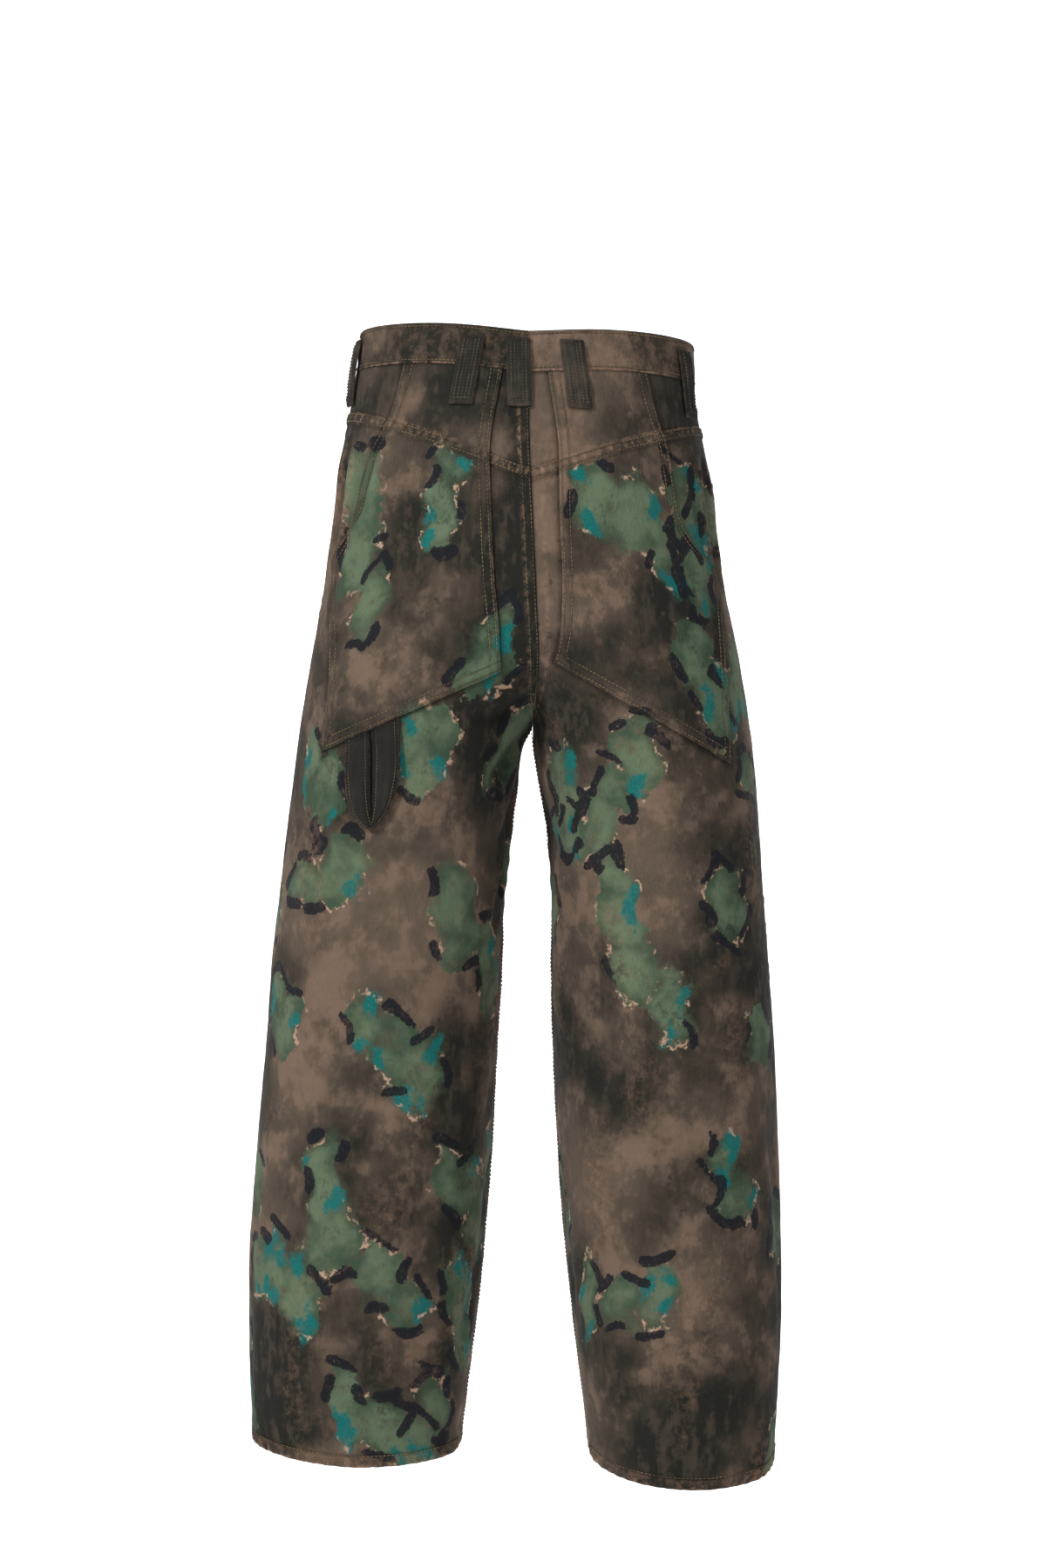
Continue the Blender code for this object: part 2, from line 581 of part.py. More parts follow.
def build_fly(name, denim):
    """The placket on the left front: straight beside the middle seam, its foot curved back to that seam."""
    rows, columns = 12, 3
    top = BAND_HEIGHT + 2 * SEAM_GAP
    share = 1 - (1 - np.linspace(0, 1, rows + 1)[:, None]) ** 1.6
    drop = level_drop(LEFT, np.full((rows + 1, 1), -90.0), top + (FLY_END - top) * share)
    above = np.clip((FLY_END - drop) / FLY_ROUND, 0.04, 1.0)
    wide = FLY_WIDE * np.sqrt(1 - (1 - above) ** 2)
    middle = smooth(drop, MIDDLE, 1)
    across = middle + SEAM_GAP + wide * np.linspace(0, 1, columns + 1)[None, :]
    drop = np.broadcast_to(drop, across.shape)
    angles = -angle_at(LEFT, across, drop)
    add_wall(name, laid_walls(LEFT, angles, drop, CLOTH / 2 + LAY_GAP, CLOTH), denim)


def build_button(name, metal):
    """A tack button: a dished disc with a rolled rim, turned about an axis square to the band."""
    angle = np.array(-90.0 + (OVER_LAP - UNDER_LAP) / 2)
    drop = level_drop(RIGHT, angle, np.array(BAND_HEIGHT / 2))
    axis = outward(plain_surface, RIGHT, angle, drop)
    seat = plain_surface(RIGHT, angle, drop) + axis * (BAND_THICK / 2 + LAP_RISE + 2 * SEAM_GAP)
    beside = np.cross(axis, (0.0, 0.0, 1.0))
    beside /= np.linalg.norm(beside)
    upward = np.cross(beside, axis)
    profile = ((0.45, 0.0), (0.92, 0.35), (1.0, 0.62), (0.97, 0.9), (0.85, 1.0), (0.72, 0.88))
    turn = np.arange(BUTTON_TURNS) * 2 * np.pi / BUTTON_TURNS
    points, faces = [], []
    for share, height in profile:
        for value in turn:
            spoke = beside * np.cos(value) + upward * np.sin(value)
            points.append(seat + spoke * (BUTTON_WIDE / 2 * share) + axis * (BUTTON_TALL * height))
    for ring in range(len(profile) - 1):
        for step in range(BUTTON_TURNS):
            after = (step + 1) % BUTTON_TURNS
            here = ring * BUTTON_TURNS
            faces.append((here + step, here + after, here + BUTTON_TURNS + after, here + BUTTON_TURNS + step))
    faces.append(tuple(range(BUTTON_TURNS))[::-1])
    faces.append(tuple((len(profile) - 1) * BUTTON_TURNS + step for step in range(BUTTON_TURNS)))
    add_object(name, points, faces, metal)


for old in list(bpy.data.objects):
    bpy.data.objects.remove(old)

mottled_denim = finish("mottled_denim", (0.105, 0.080, 0.062), 0.92)
dark_denim = finish("dark_denim", (0.045, 0.042, 0.038), 0.92)
aged_metal = finish("aged_metal", (0.23, 0.19, 0.14), 0.45, 1.0)

build_waistband("waistband", mottled_denim)
for word, which in SIDES:
    build_yoke("back_yoke_" + word, which, mottled_denim)
    build_back_panel("back_panel_" + word, which, mottled_denim)
    build_front_panel("front_panel_" + word, which, mottled_denim)
    build_facing("front_facing_" + word, which, mottled_denim)
    build_back_pocket("back_pocket_" + word, which, mottled_denim)
for loop in LOOPS:
    build_belt_loop(*loop, dark_denim)
build_hammer_loop("hammer_loop", dark_denim)
build_fly("fly_placket", mottled_denim)
build_button("waist_button", aged_metal)
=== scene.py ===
"""Baggy barrel-leg jeans in worn form: the looks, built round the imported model. Metres, +Z up."""

import bpy
import numpy as np
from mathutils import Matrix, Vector


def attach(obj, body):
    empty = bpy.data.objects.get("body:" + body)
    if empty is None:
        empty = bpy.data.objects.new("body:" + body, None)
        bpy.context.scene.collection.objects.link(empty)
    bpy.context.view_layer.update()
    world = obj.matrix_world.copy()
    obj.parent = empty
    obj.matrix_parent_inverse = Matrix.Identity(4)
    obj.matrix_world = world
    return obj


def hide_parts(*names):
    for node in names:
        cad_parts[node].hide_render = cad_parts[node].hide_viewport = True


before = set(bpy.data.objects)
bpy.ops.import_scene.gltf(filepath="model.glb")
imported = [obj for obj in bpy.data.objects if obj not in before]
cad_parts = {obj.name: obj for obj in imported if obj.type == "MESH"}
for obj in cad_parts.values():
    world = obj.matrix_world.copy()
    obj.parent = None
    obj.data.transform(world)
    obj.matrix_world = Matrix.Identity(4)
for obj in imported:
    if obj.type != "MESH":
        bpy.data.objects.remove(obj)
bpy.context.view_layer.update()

# ---------------------------------------------------------------------------------------------
# Back panels: one for each leg, of heavy cotton twill, cut from the yoke seam down to the hem.
# The cloth is dyed brown, blotched with charcoal, and painted by hand with green patches that
# have black daubs round them. The hem is turned up once and sewn 10 mm from its edge.
LEFT, RIGHT = 1, -1
SIDES = (("left", LEFT), ("right", RIGHT))
MM = 0.001
WAIST_TOP, BAND_HEIGHT = 0.020, 0.037      # height of the waist's top edge; height of the band
CROTCH, SIDE_CROTCH = 0.353, 0.335         # drops, below that edge, of the crotch and its row at the hip
HEM, HEM_ROW = 1.0145, 0.0098              # drop of the hem, and how far above it its stitches run
HEM_DIP = {LEFT: 0.013, RIGHT: 0.020}      # how much lower the hem is at the back
YOKE_SIDE, YOKE_POINT = 0.0745, 0.050      # the yoke seam at the hip, and how much lower its point is
YOKE_ROWS = (0.0018, 0.0084)               # rows of stitches below the yoke seam
TILT, SQUARE = 0.04, 2.2                   # the garment leans a little; power of its oval sections
CLOTH, HEM_EXTRA = 0.0013, 0.0016          # thickness of the cloth, and what the turned-up hem adds
PANEL_OUT = 0.00075                        # height of a panel's outer face over the cloth's middle
FELLED, TURNED = 0.0095, 0.0105            # width of a felled seam, and of a turned-in edge
GROOVE = 0.0009                            # half width of the groove that a row of stitches pulls

# Sections, in mm: drop, reach to the left and right, place of the back and of the front from front to
# back, and how much deeper the right leg is
FORM = MM * np.array((
    (0, 152, 150.4, 100, -100, 0), (40, 156.5, 151.5, 106, -106, 0), (80, 163.2, 157.2, 112, -111, 0),
    (130, 172.2, 166.8, 120, -115, 0), (180, 177.1, 171.2, 126, -118, 0), (220, 182.8, 176.8, 128, -119, 0),
    (270, 192.3, 188.6, 127, -119, 0), (340, 203.4, 200.3, 121, -117, 0), (420, 215.4, 209, 115, -115, 3),
    (540, 229, 218.4, 107, -113, 5), (680, 242, 226.3, 104, -113, 6), (800, 251, 229.7, 103, -107, 7),
    (880, 255, 230.3, 98, -96, 8), (950, 253.5, 227.5, 88, -76, 9), (1040, 249.7, 222, 74, -56, 9)))
# Inner edges of the legs, in mm: drop, left, right
INNER = MM * np.array((
    (353, -4, 4), (378, 6.4, 6.4), (410, 11.2, 11.6), (440, 16, 17.6), (475, 20, 20.8), (570, 25.6, 22.8),
    (730, 34.4, 28.8), (890, 47.2, 41.6), (970, 58.4, 52), (1040, 66.5, 60)))
# How far a side's oval reaches past the middle, by drop in mm: 1 round both sides, 0 for two legs
JOIN = np.array((
    (0, 1), (200, 1), (240, 0.8), (280, 0.5), (315, 0.2), (330, 0.1), (340, 0.045),
    (347, 0.017), (353, 0))) * (MM, 1.0)
# The middle seam's place from side to side, by drop, in mm
MIDDLE = MM * np.array((
    (0, 0), (100, -1), (170, -4), (250, -7.5), (290, -9), (353, -4)))
# Angles of the side seam and of the inner leg seam, by drop in mm
SEAMS = np.array((
    (0, -4, 180), (200, -4, 180), (353, -10, 180), (600, -14, 187), (1040, -10, 187))) * (MM, 1.0, 1.0)
# Folds: side, angle and drop of both ends, bow, depth, width, and the height of the lips beside them
# as a share of the depth. Lengths are in mm. The first nine are the deep ones at the crotch.
FOLDS = (
    (LEFT, 152, 300, 118, 360, 10, 5, 10, 0), (LEFT, 168, 325, 132, 412, 12, 6.5, 11, 0),
    (LEFT, 178, 365, 150, 470, 10, 4.5, 10, 0), (RIGHT, 160, 325, 138, 410, 8, 3.5, 10, 0),
    (RIGHT, 174, 370, 155, 480, 8, 4, 11, 0), (LEFT, -150, 300, -112, 345, -10, 4.5, 10, 0),
    (LEFT, -166, 330, -128, 400, -10, 5.5, 11, 0), (RIGHT, -152, 305, -115, 352, -10, 4.5, 10, 0),
    (RIGHT, -162, 338, -128, 415, -10, 4.8, 11, 0), (LEFT, 160, 290, 128, 338, 6, 2.2, 5.5, 0.5),
    (LEFT, 171, 338, 146, 398, 7, 2.4, 5, 0.6), (LEFT, 176, 390, 160, 520, 4, 3, 7.5, 0.4),
    (LEFT, 168, 430, 148, 560, 6, 2.6, 8, 0.4), (LEFT, 184, 470, 170, 640, 3, 2.8, 8.5, 0.4),
    (LEFT, 172, 560, 158, 720, 5, 2.2, 9, 0.4), (RIGHT, 168, 335, 148, 400, 5, 1.8, 5, 0.5),
    (RIGHT, 178, 380, 168, 500, 4, 2.2, 6.5, 0.5), (RIGHT, 170, 400, 158, 530, 5, 1.8, 7, 0.4),
    (RIGHT, 184, 440, 174, 640, 3, 2.4, 8, 0.4), (LEFT, 60, 560, 30, 600, 6, 2, 12, 0.3),
    (RIGHT, 70, 585, 38, 560, 6, 2, 12, 0.3), (LEFT, 146, 640, 112, 610, -5, 2, 11, 0.3),
    (RIGHT, 150, 600, 120, 640, 5, 1.8, 11, 0.3), (LEFT, 172, 760, 150, 930, 4, 2.6, 12, 0.3),
    (RIGHT, 176, 740, 160, 900, 4, 2.2, 12, 0.3), (LEFT, 24, 760, 12, 960, -4, 2.2, 12, 0.3),
    (RIGHT, 30, 720, 16, 930, -4, 2.2, 12, 0.3), (LEFT, 14, 105, 10, 215, 2, 2.4, 4.2, 0.9),
    (LEFT, 22, 110, 17, 235, 2, 2.2, 4, 0.9), (LEFT, 6, 120, 3, 240, 2, 2, 4, 0.9),
    (RIGHT, 14, 110, 12, 220, 2, 2.2, 4.2, 0.9), (RIGHT, 24, 115, 20, 200, 2, 1.2, 3.8, 0.9),
    (RIGHT, 5, 125, 4, 250, 2, 1.4, 3.8, 0.9), (LEFT, -28, 150, -52, 215, 8, 2, 9, 0.4),
    (RIGHT, -28, 155, -54, 225, 8, 2, 9, 0.4), (LEFT, -160, 285, -118, 315, -6, 1.8, 6, 0.5),
    (RIGHT, -162, 290, -120, 322, -6, 1.8, 6, 0.5), (LEFT, -172, 380, -150, 520, -4, 2.4, 8, 0.4),
    (RIGHT, -172, 385, -150, 530, -4, 2.4, 8, 0.4), (LEFT, -62, 560, -104, 590, 7, 2.2, 12, 0.3),
    (RIGHT, -60, 570, -100, 600, 7, 2.2, 12, 0.3), (LEFT, -40, 640, -80, 625, 6, 1.8, 11, 0.3),
    (RIGHT, -42, 630, -84, 650, 6, 1.8, 11, 0.3))
FOLD_RADIUS, FOLD_FADE = 0.115, 0.022      # radius that turns angles into lengths; folds fade at the seam


def smooth(at, table, column):
    """A table's column at any place of its first column: cubic pieces that don't overshoot."""
    places, values = table[:, 0], table[:, column]
    step = np.diff(places)
    rise = np.diff(values) / step
    slope = np.zeros(len(values))
    slope[0], slope[-1] = rise[0], rise[-1]
    before, after = 2 * step[1:] + step[:-1], step[1:] + 2 * step[:-1]
    level = rise[:-1] * rise[1:] <= 0
    safe = np.where(level, 1.0, rise[:-1]), np.where(level, 1.0, rise[1:])
    slope[1:-1] = np.where(level, 0.0, (before + after) / (before / safe[0] + after / safe[1]))
    at = np.clip(at, places[0], places[-1])
    row = np.clip(np.searchsorted(places, at) - 1, 0, len(step) - 1)
    part = (at - places[row]) / step[row]
    rest = 1 - part
    return (values[row] * (1 + 2 * part) * rest ** 2 + values[row + 1] * part ** 2 * (3 - 2 * part)
            + step[row] * part * rest * (slope[row] * rest - slope[row + 1] * part))


def ease(value):
    """0 to 1 with level ends: 3v2 - 2v3."""
    value = np.clip(value, 0.0, 1.0)
    return value * value * (3 - 2 * value)


def peak(at, wide, place=0.0):
    """1 at a place and falling to both sides: exp(-x2), with x counted in widths."""
    return np.exp(-((at - place) / wide) ** 2)


def peaks(at, wide, places):
    """Sum of like peaks at some places."""
    return sum(peak(at, wide, place) for place in places)


def bar(at, start, end, soft=0.0012):
    """1 between two places and 0 outside them, with soft shoulders."""
    return ease((at - start) / soft + 0.5) * ease((end - at) / soft + 0.5)


def wave(turns):
    """A sine wave, counted in whole turns."""
    return np.sin(2 * np.pi * turns)


def section(side, drop):
    """A side's oval at a drop: its middle plane, centre, half width, centre depth and half depth."""
    outer = smooth(drop, FORM, 1 if side == LEFT else 2)
    deeper = smooth(drop, FORM, 5) if side == RIGHT else 0.0
    back = smooth(drop, FORM, 3) + deeper
    front = smooth(drop, FORM, 4) - deeper
    middle = side * smooth(drop, MIDDLE, 1)
    joined = middle - smooth(drop, JOIN, 1) * (outer - middle)
    inner = np.where(drop < CROTCH, joined, smooth(drop, INNER, 1 if side == LEFT else 2))
    return middle, (outer + inner) / 2, (outer - inner) / 2, (back + front) / 2, (back - front) / 2


def middle_angle(side, drop):
    """The angle at which an oval meets the middle seam at the back."""
    middle, centre, half, _, deep = section(side, drop)
    across = np.clip((middle - centre) / half, -1.0, 0.0)
    up = deep * (1 - np.abs(across) ** SQUARE) ** (1 / SQUARE)
    return np.degrees(np.arctan2(up, across * half))


def plain_surface(side, angle, drop):
    """A point of the cloth with no folds: the oval |x/a|^2.2 + |y/b|^2.2 = 1 at an angle and a drop."""
    _, centre, half, middle_depth, deep = section(side, drop)
    turn = np.radians(angle)
    reach = (np.abs(np.cos(turn) / half) ** SQUARE + np.abs(np.sin(turn) / deep) ** SQUARE) ** (-1 / SQUARE)
    across = side * (centre + reach * np.cos(turn))
    depth = middle_depth + reach * np.sin(turn)
    return np.stack((across, depth, WAIST_TOP - drop + TILT * across), axis=-1)


def outward(side, angle, drop):
    """The unit vector out of the plain cloth: the cross product of small steps down and around it."""
    turn, fall = 0.4, 0.0008
    around = plain_surface(side, angle + turn, drop) - plain_surface(side, angle - turn, drop)
    down = plain_surface(side, angle, drop + fall) - plain_surface(side, angle, drop - fall)
    normal = side * np.cross(down, around)
    return normal / np.linalg.norm(normal, axis=-1, keepdims=True)


def ripple(seed, along, aside, length, count=6):
    """Smooth unevenness of about -1 to 1: a sum of sine waves of like length in seeded directions."""
    draw = np.random.default_rng(seed)
    total = np.zeros(np.broadcast(along, aside).shape)
    for _ in range(count):
        turn, phase, size = draw.uniform(0, 2 * np.pi), draw.uniform(0, 2 * np.pi), draw.uniform(0.7, 1.5)
        ahead = along * np.cos(turn) + aside * np.sin(turn)
        total = total + np.sin(2 * np.pi / (length * size) * ahead + phase)
    return total / count ** 0.5 / 1.2


def relief(side, angle, drop):
    """How high the cloth stands off its plain form: troughs exp(-x2) along bowed lines, with lips beside
    the finer ones, and a little unevenness everywhere."""
    round_at = np.radians(angle) * FOLD_RADIUS
    high = (0.0007 * ripple(side + 5, round_at, drop * 0.55, 0.075)
            + 0.00022 * ripple(side + 9, round_at, drop * 0.6, 0.019))
    folds = np.zeros(np.shape(high))
    for fold_side, angle_a, drop_a, angle_b, drop_b, bow, deep, wide, lip in FOLDS:
        if fold_side != side:
            continue
        start = np.array((np.radians(angle_a) * FOLD_RADIUS, MM * drop_a))
        run = np.array((np.radians(angle_b) * FOLD_RADIUS, MM * drop_b)) - start
        length = np.hypot(*run)
        run = run / length
        off = round_at - start[0], drop - start[1]
        along = (off[0] * run[0] + off[1] * run[1]) / length
        bent = 4 * MM * bow * along * (1 - along)
        aside = (off[0] * run[1] - off[1] * run[0] - bent) / (MM * wide)
        ends = ease(along / 0.25 + 0.5) * ease((1 - along) / 0.35 + 0.3)
        folds += MM * deep * ends * (np.exp(-aside ** 2) - lip * peak(np.abs(aside), 0.8, 1.7))
    away = side * plain_surface(side, angle, drop)[..., 0] - side * smooth(drop, MIDDLE, 1)
    return (high - folds) * ease(away / FOLD_FADE)


def level_drop(side, angle, level):
    """Drop of a level at an angle: levels wave at the waist, dip to the yoke's point and at the hem."""
    level = level + np.zeros(np.shape(angle))
    turn = np.radians(angle)
    sine = np.sin(turn)
    waist = 0.003 - 0.003 * np.sin(2 * np.abs(turn)) + np.where(sine > 0, 0.003, 0.012) * sine ** 6
    waist = waist * (1 - ease((level - BAND_HEIGHT) / 0.16))
    across = plain_surface(LEFT, angle, YOKE_SIDE)[..., 0] / smooth(YOKE_SIDE, FORM, 1)
    vee = np.where(sine > 0, 1 - across, 0.0)
    vee = vee * YOKE_POINT * np.interp(level, (BAND_HEIGHT, YOKE_SIDE, 0.32), (0.0, 1.0, 0.0))
    dip = HEM_DIP[side] * sine * np.clip((level - 0.6) / (HEM - 0.6), 0.0, None) ** 2
    return level + waist + vee + dip


def under(side, angle, drop, level):
    """How far a point lies below the line of a level."""
    return drop - level_drop(side, angle, level)


def over_hem(side, angle, drop):
    """How far a point lies above the hem."""
    return HEM + (level_drop(side, angle, drop) - drop) - drop


def seam_angles(side, back, drop):
    """Angles of the side seam, and of the seam at the middle or the inner leg."""
    hip = smooth(drop, SEAMS, 1)
    middle, leg = middle_angle(side, drop), smooth(drop, SEAMS, 2)
    if back:
        return hip, np.where(drop < CROTCH, middle, leg)
    return hip, np.where(drop < CROTCH, -middle, leg - 360.0)


def lengths(points, axis=0):
    """Length run along a line of points, or along an axis of a grid of them."""
    steps = np.linalg.norm(np.diff(points, axis=axis), axis=-1)
    return np.concatenate((np.zeros_like(steps.take((0,), axis)), np.cumsum(steps, axis=axis)), axis=axis)


# Lengths round each side's ovals from the middle of the back, on a table of drops and angles: its
# columns at -180, 90 and 180 degrees
ARC_DROPS, ARC_ANGLES = np.linspace(0.0, 1.05, 106), np.linspace(-200.0, 200.0, 801)
ARC_START, ARC_ZERO, ARC_END = 40, 580, 760
ARCS = {}
for _, which in SIDES:
    run = lengths(plain_surface(which, ARC_ANGLES[None, :], ARC_DROPS[:, None]), 1)
    ARCS[which] = run - run[:, [ARC_ZERO]]


def around(side, angle, drop):
    """Length round the cloth from the middle of the back to an angle, read between the table's places."""
    row = np.clip(np.asarray(drop) / 0.01, 0, 104.999)
    column = np.clip((np.asarray(angle) + 200.0) / 0.5, 0, 799.999)
    r, c = row.astype(int), column.astype(int)
    fr, fc = row - r, column - c
    arcs = ARCS[side]
    return ((arcs[r, c] * (1 - fc) + arcs[r, c + 1] * fc) * (1 - fr)
            + (arcs[r + 1, c] * (1 - fc) + arcs[r + 1, c + 1] * fc) * fr)


def spread(side, angle, drop, near, between, margin=0.015):
    """Columns along each row: close together within a margin of both ends, wider between them."""
    angles, drops = [], []
    for row_angle, row_drop in zip(angle, drop):
        run = lengths(plain_surface(side, row_angle, row_drop))
        edge = min(margin, run[-1] * 0.2)
        wanted = np.concatenate((np.linspace(0, edge, near + 1),
                                 np.linspace(edge, run[-1] - edge, between + 1)[1:-1],
                                 np.linspace(run[-1] - edge, run[-1], near + 1)))
        angles.append(np.interp(wanted, run, row_angle))
        drops.append(np.interp(wanted, run, row_drop))
    return np.array(angles), np.array(drops)


def settled(side, back, share, level, ahead=0.0):
    """Angles and drops at shares of the way from the side seam, or from some degrees ahead of it, and at
    levels, found in eight turns."""
    drop = level
    for _ in range(8):
        hip, middle = seam_angles(side, back, drop)
        angle = hip + ahead + (middle - hip) * share
        drop = level_drop(side, angle, level)
    return angle, drop


def ruled(side, back, in_level, out_level, near, between, out_share=0.0):
    """Angles and drops of a panel's grid, in rows from the middle or inner seam to the side seam."""
    fine = np.linspace(0, 1, 241)[None, :]
    share = 1 - (1 - np.reshape(out_share, (-1, 1))) * fine
    level = out_level[:, None] + (in_level - out_level)[:, None] * (1 - fine ** 2)
    return spread(side, *settled(side, back, share, level), near, between)


def fine_levels(top):
    """Levels of a panel's rows from its top to the hem, at the middle or inner seam and at the side
    seam: close together at the top and at the hem."""
    share = np.linspace(0, 1, 74)[1:]
    first = top + np.linspace(0, 0.0145, 13)
    end = first[-1]
    down = np.linspace(0, 1, 188)[1:] ** 1.08
    low = HEM - 0.0165
    hem = np.linspace(low, HEM, 17)[1:]
    out = (first, end + (SIDE_CROTCH - end) * share, SIDE_CROTCH + (low - SIDE_CROTCH) * down, hem)
    into = (first, CROTCH - (CROTCH - end) * (1 - share) ** 1.45, CROTCH + (low - CROTCH) * down, hem)
    return np.concatenate(into), np.concatenate(out)


def ladder(at, below):
    """The puckers between the two rows of stitches below the yoke seam, as a slanted wave."""
    return np.sin(2 * np.pi * (at / 0.0085 + 0.35 * ripple(3, at, below, 0.05)) + below * 260)


def yoke_band(side, angle, drop):
    """Height of the felled seam under the yoke: a raised band 9.5 mm wide with a groove at each row of
    stitches and small puckers between them."""
    below = under(side, angle, drop, YOKE_SIDE)
    at = around(side, angle, drop)
    pucker = ladder(at, below)
    inside = bar(below, 0.0004, 0.0098)
    loose = peaks(below, 0.005, (-0.004, 0.0145))
    return (inside * (0.0011 + 0.00028 * pucker) - 0.00035 * peaks(below, GROOVE, YOKE_ROWS) * inside
            + 0.00018 * loose * pucker * (1 + ripple(4, at, drop, 0.04)))


def from_seams(side, angle, drop, back):
    """Lengths round the cloth to a panel's side seam, and to its middle or inner seam."""
    hip, inner = seam_angles(side, back, drop)
    at = around(side, angle, drop)
    return np.abs(at - around(side, hip, drop)), np.abs(at - around(side, inner, drop))


def leg_seams(side, angle, drop, back):
    """Height of the seams down a panel: a felled band at the middle or inner seam, a grooved ridge with
    puckers at the side seam, and the roped hem."""
    at = around(side, angle, drop)
    from_side, from_inner = from_seams(side, angle, drop, back)
    short = wave(drop / 0.0115 + 0.3 * ripple(side + 13, drop, at, 0.06))
    long = wave(drop / 0.031 + 0.4 * ripple(side + 17, drop, at, 0.10))
    felled = np.where(drop < CROTCH, (side == LEFT) == back, back) * 1.0
    band = felled * bar(from_inner, 0.0, FELLED) * (0.0009 + 0.00018 * short)
    beside = 0.0005 * long * peak(from_inner, 0.012, 0.016)
    ridge = (0.0007 * peak(from_side, 0.006, 0.006) * (1 + 0.6 * short + 0.4 * long)
             - 0.0008 * peak(from_side, 0.0016))
    up = over_hem(side, angle, drop)
    rope = wave((at + 0.55 * up) / 0.0125 + 0.35 * ripple(side + 21, at, drop, 0.07))
    hem = (bar(up, -0.004, HEM_ROW) * 0.0006 + 0.0005 * rope * bar(up, -0.004, 0.0085, 0.004)
           - 0.0006 * peak(up, 0.0011, HEM_ROW) + 0.0006 * rope * peak(up, 0.007, 0.016))
    return band + beside + ridge + hem


def from_hip(side, angle, drop):
    """Length round the cloth from the side seam to an angle, positive over the back."""
    return around(side, angle, drop) - around(side, smooth(drop, SEAMS, 1), drop)


# Paint patches: for each side and each place on a loose lattice, a chain of ovals, black daubs
# along their rim, and teal spots inside it. Each oval is: place round, drop, half width, half height.
BARE = -60.0                               # the distance into the paint, in mm, where there is none
patch_draw = np.random.default_rng(41)
PATCHES = []
for _, which in SIDES:
    for row, column in np.ndindex(8, 6):
        at = np.array((-0.255 + 0.112 * column + 0.056 * (row % 2), 0.150 + 0.120 * row))
        at = at + patch_draw.uniform(-0.022, 0.022, 2)
        skipped = patch_draw.random() < 0.22
        seam = from_hip(which, seam_angles(which, at[0] > 0, at[1])[1], at[1])
        if skipped or (at[1] < 0.44 and abs(at[0]) > abs(seam) - 0.038):
            continue
        ovals, daubs, teals = [], [], []
        heading = patch_draw.normal(np.pi / 2, 0.45)
        for _ in range(patch_draw.choice((1, 2, 3, 4), p=(0.22, 0.36, 0.28, 0.14))):
            ovals.append((*at, *patch_draw.uniform((0.014, 0.022), (0.030, 0.044))))
            heading += patch_draw.normal(0.0, 0.55)
            at = at + patch_draw.uniform(0.026, 0.044) * np.array((np.cos(heading), np.sin(heading)))
        for x, y, wide, tall in ovals:
            for place in patch_draw.uniform(0, 2 * np.pi) + np.arange(6) * 1.05:
                turn = place + patch_draw.uniform(-0.2, 0.2)
                out_x, out_y = wide * np.cos(turn), tall * np.sin(turn)
                spot = x + out_x, y + out_y
                inside = min(np.hypot((spot[0] - u) / p, (spot[1] - v) / q) for u, v, p, q in ovals)
                length, thick = patch_draw.uniform(0.005, 0.011), patch_draw.uniform(0.0037, 0.0056)
                lean = patch_draw.normal(0, 0.3)
                if inside > 0.93 and patch_draw.random() < 0.52:
                    along = np.arctan2(tall * np.cos(turn), -wide * np.sin(turn)) + lean
                    daubs.append((*spot, np.cos(along), np.sin(along), length, thick))
                elif inside > 0.93 and patch_draw.random() < 0.50:
                    teals.append((x + 0.70 * out_x, y + 0.70 * out_y,
                                  patch_draw.uniform(0.005, 0.010), patch_draw.uniform(0.008, 0.017)))
        PATCHES.append((which, ovals, daubs, teals))


def into_oval(x, y, oval):
    """Distance into an oval, in mm: (1 - r) times its mean half size, with r 1 on the rim."""
    u, v, wide, tall = oval
    return 1000 * (1 - np.hypot((x - u) / wide, (y - v) / tall)) * (wide + tall) / 2


def into_daub(x, y, daub):
    """Distance into a daub, in mm: its half width less the distance to a short line."""
    u, v, cos, sin, length, thick = daub
    along, beside = (x - u) * cos + (y - v) * sin, (y - v) * cos - (x - u) * sin
    return 1000 * (thick - np.hypot(np.maximum(np.abs(along) - length, 0), beside))


def paint_fields(side, angle, drop):
    """Distances into the green, the daubs and the teal, in mm and positive inside. Patches are bent by
    short waves, and there are none above the band under the yoke."""
    at = from_hip(side, angle, drop)
    fields = np.full(np.shape(at) + (3,), BARE)
    whole = np.interp(drop, ARC_DROPS, ARCS[side][:, ARC_END] - ARCS[side][:, ARC_START])
    for patch_side, *marks in PATCHES:
        if patch_side != side:
            continue
        u, v = marks[0][0][:2]
        aside, down = at - u, drop - v
        aside = aside - whole * np.round(aside / whole)
        near = (np.abs(aside) < 0.18) & (np.abs(down) < 0.20)
        x, y = aside[near] + u, down[near] + v
        x, y = x + 0.0035 * np.sin(y * 150 + u * 90), y + 0.0035 * np.sin(x * 130 + v * 90)
        spot = fields[near]
        for layer, distance in enumerate((into_oval, into_daub, into_oval)):
            for mark in marks[layer]:
                spot[:, layer] = np.maximum(spot[:, layer], distance(x, y, mark))
        fields[near] = spot
    low = 1000 * (under(side, angle, drop, YOKE_SIDE) - 0.012)
    return np.minimum(fields, low[..., None])


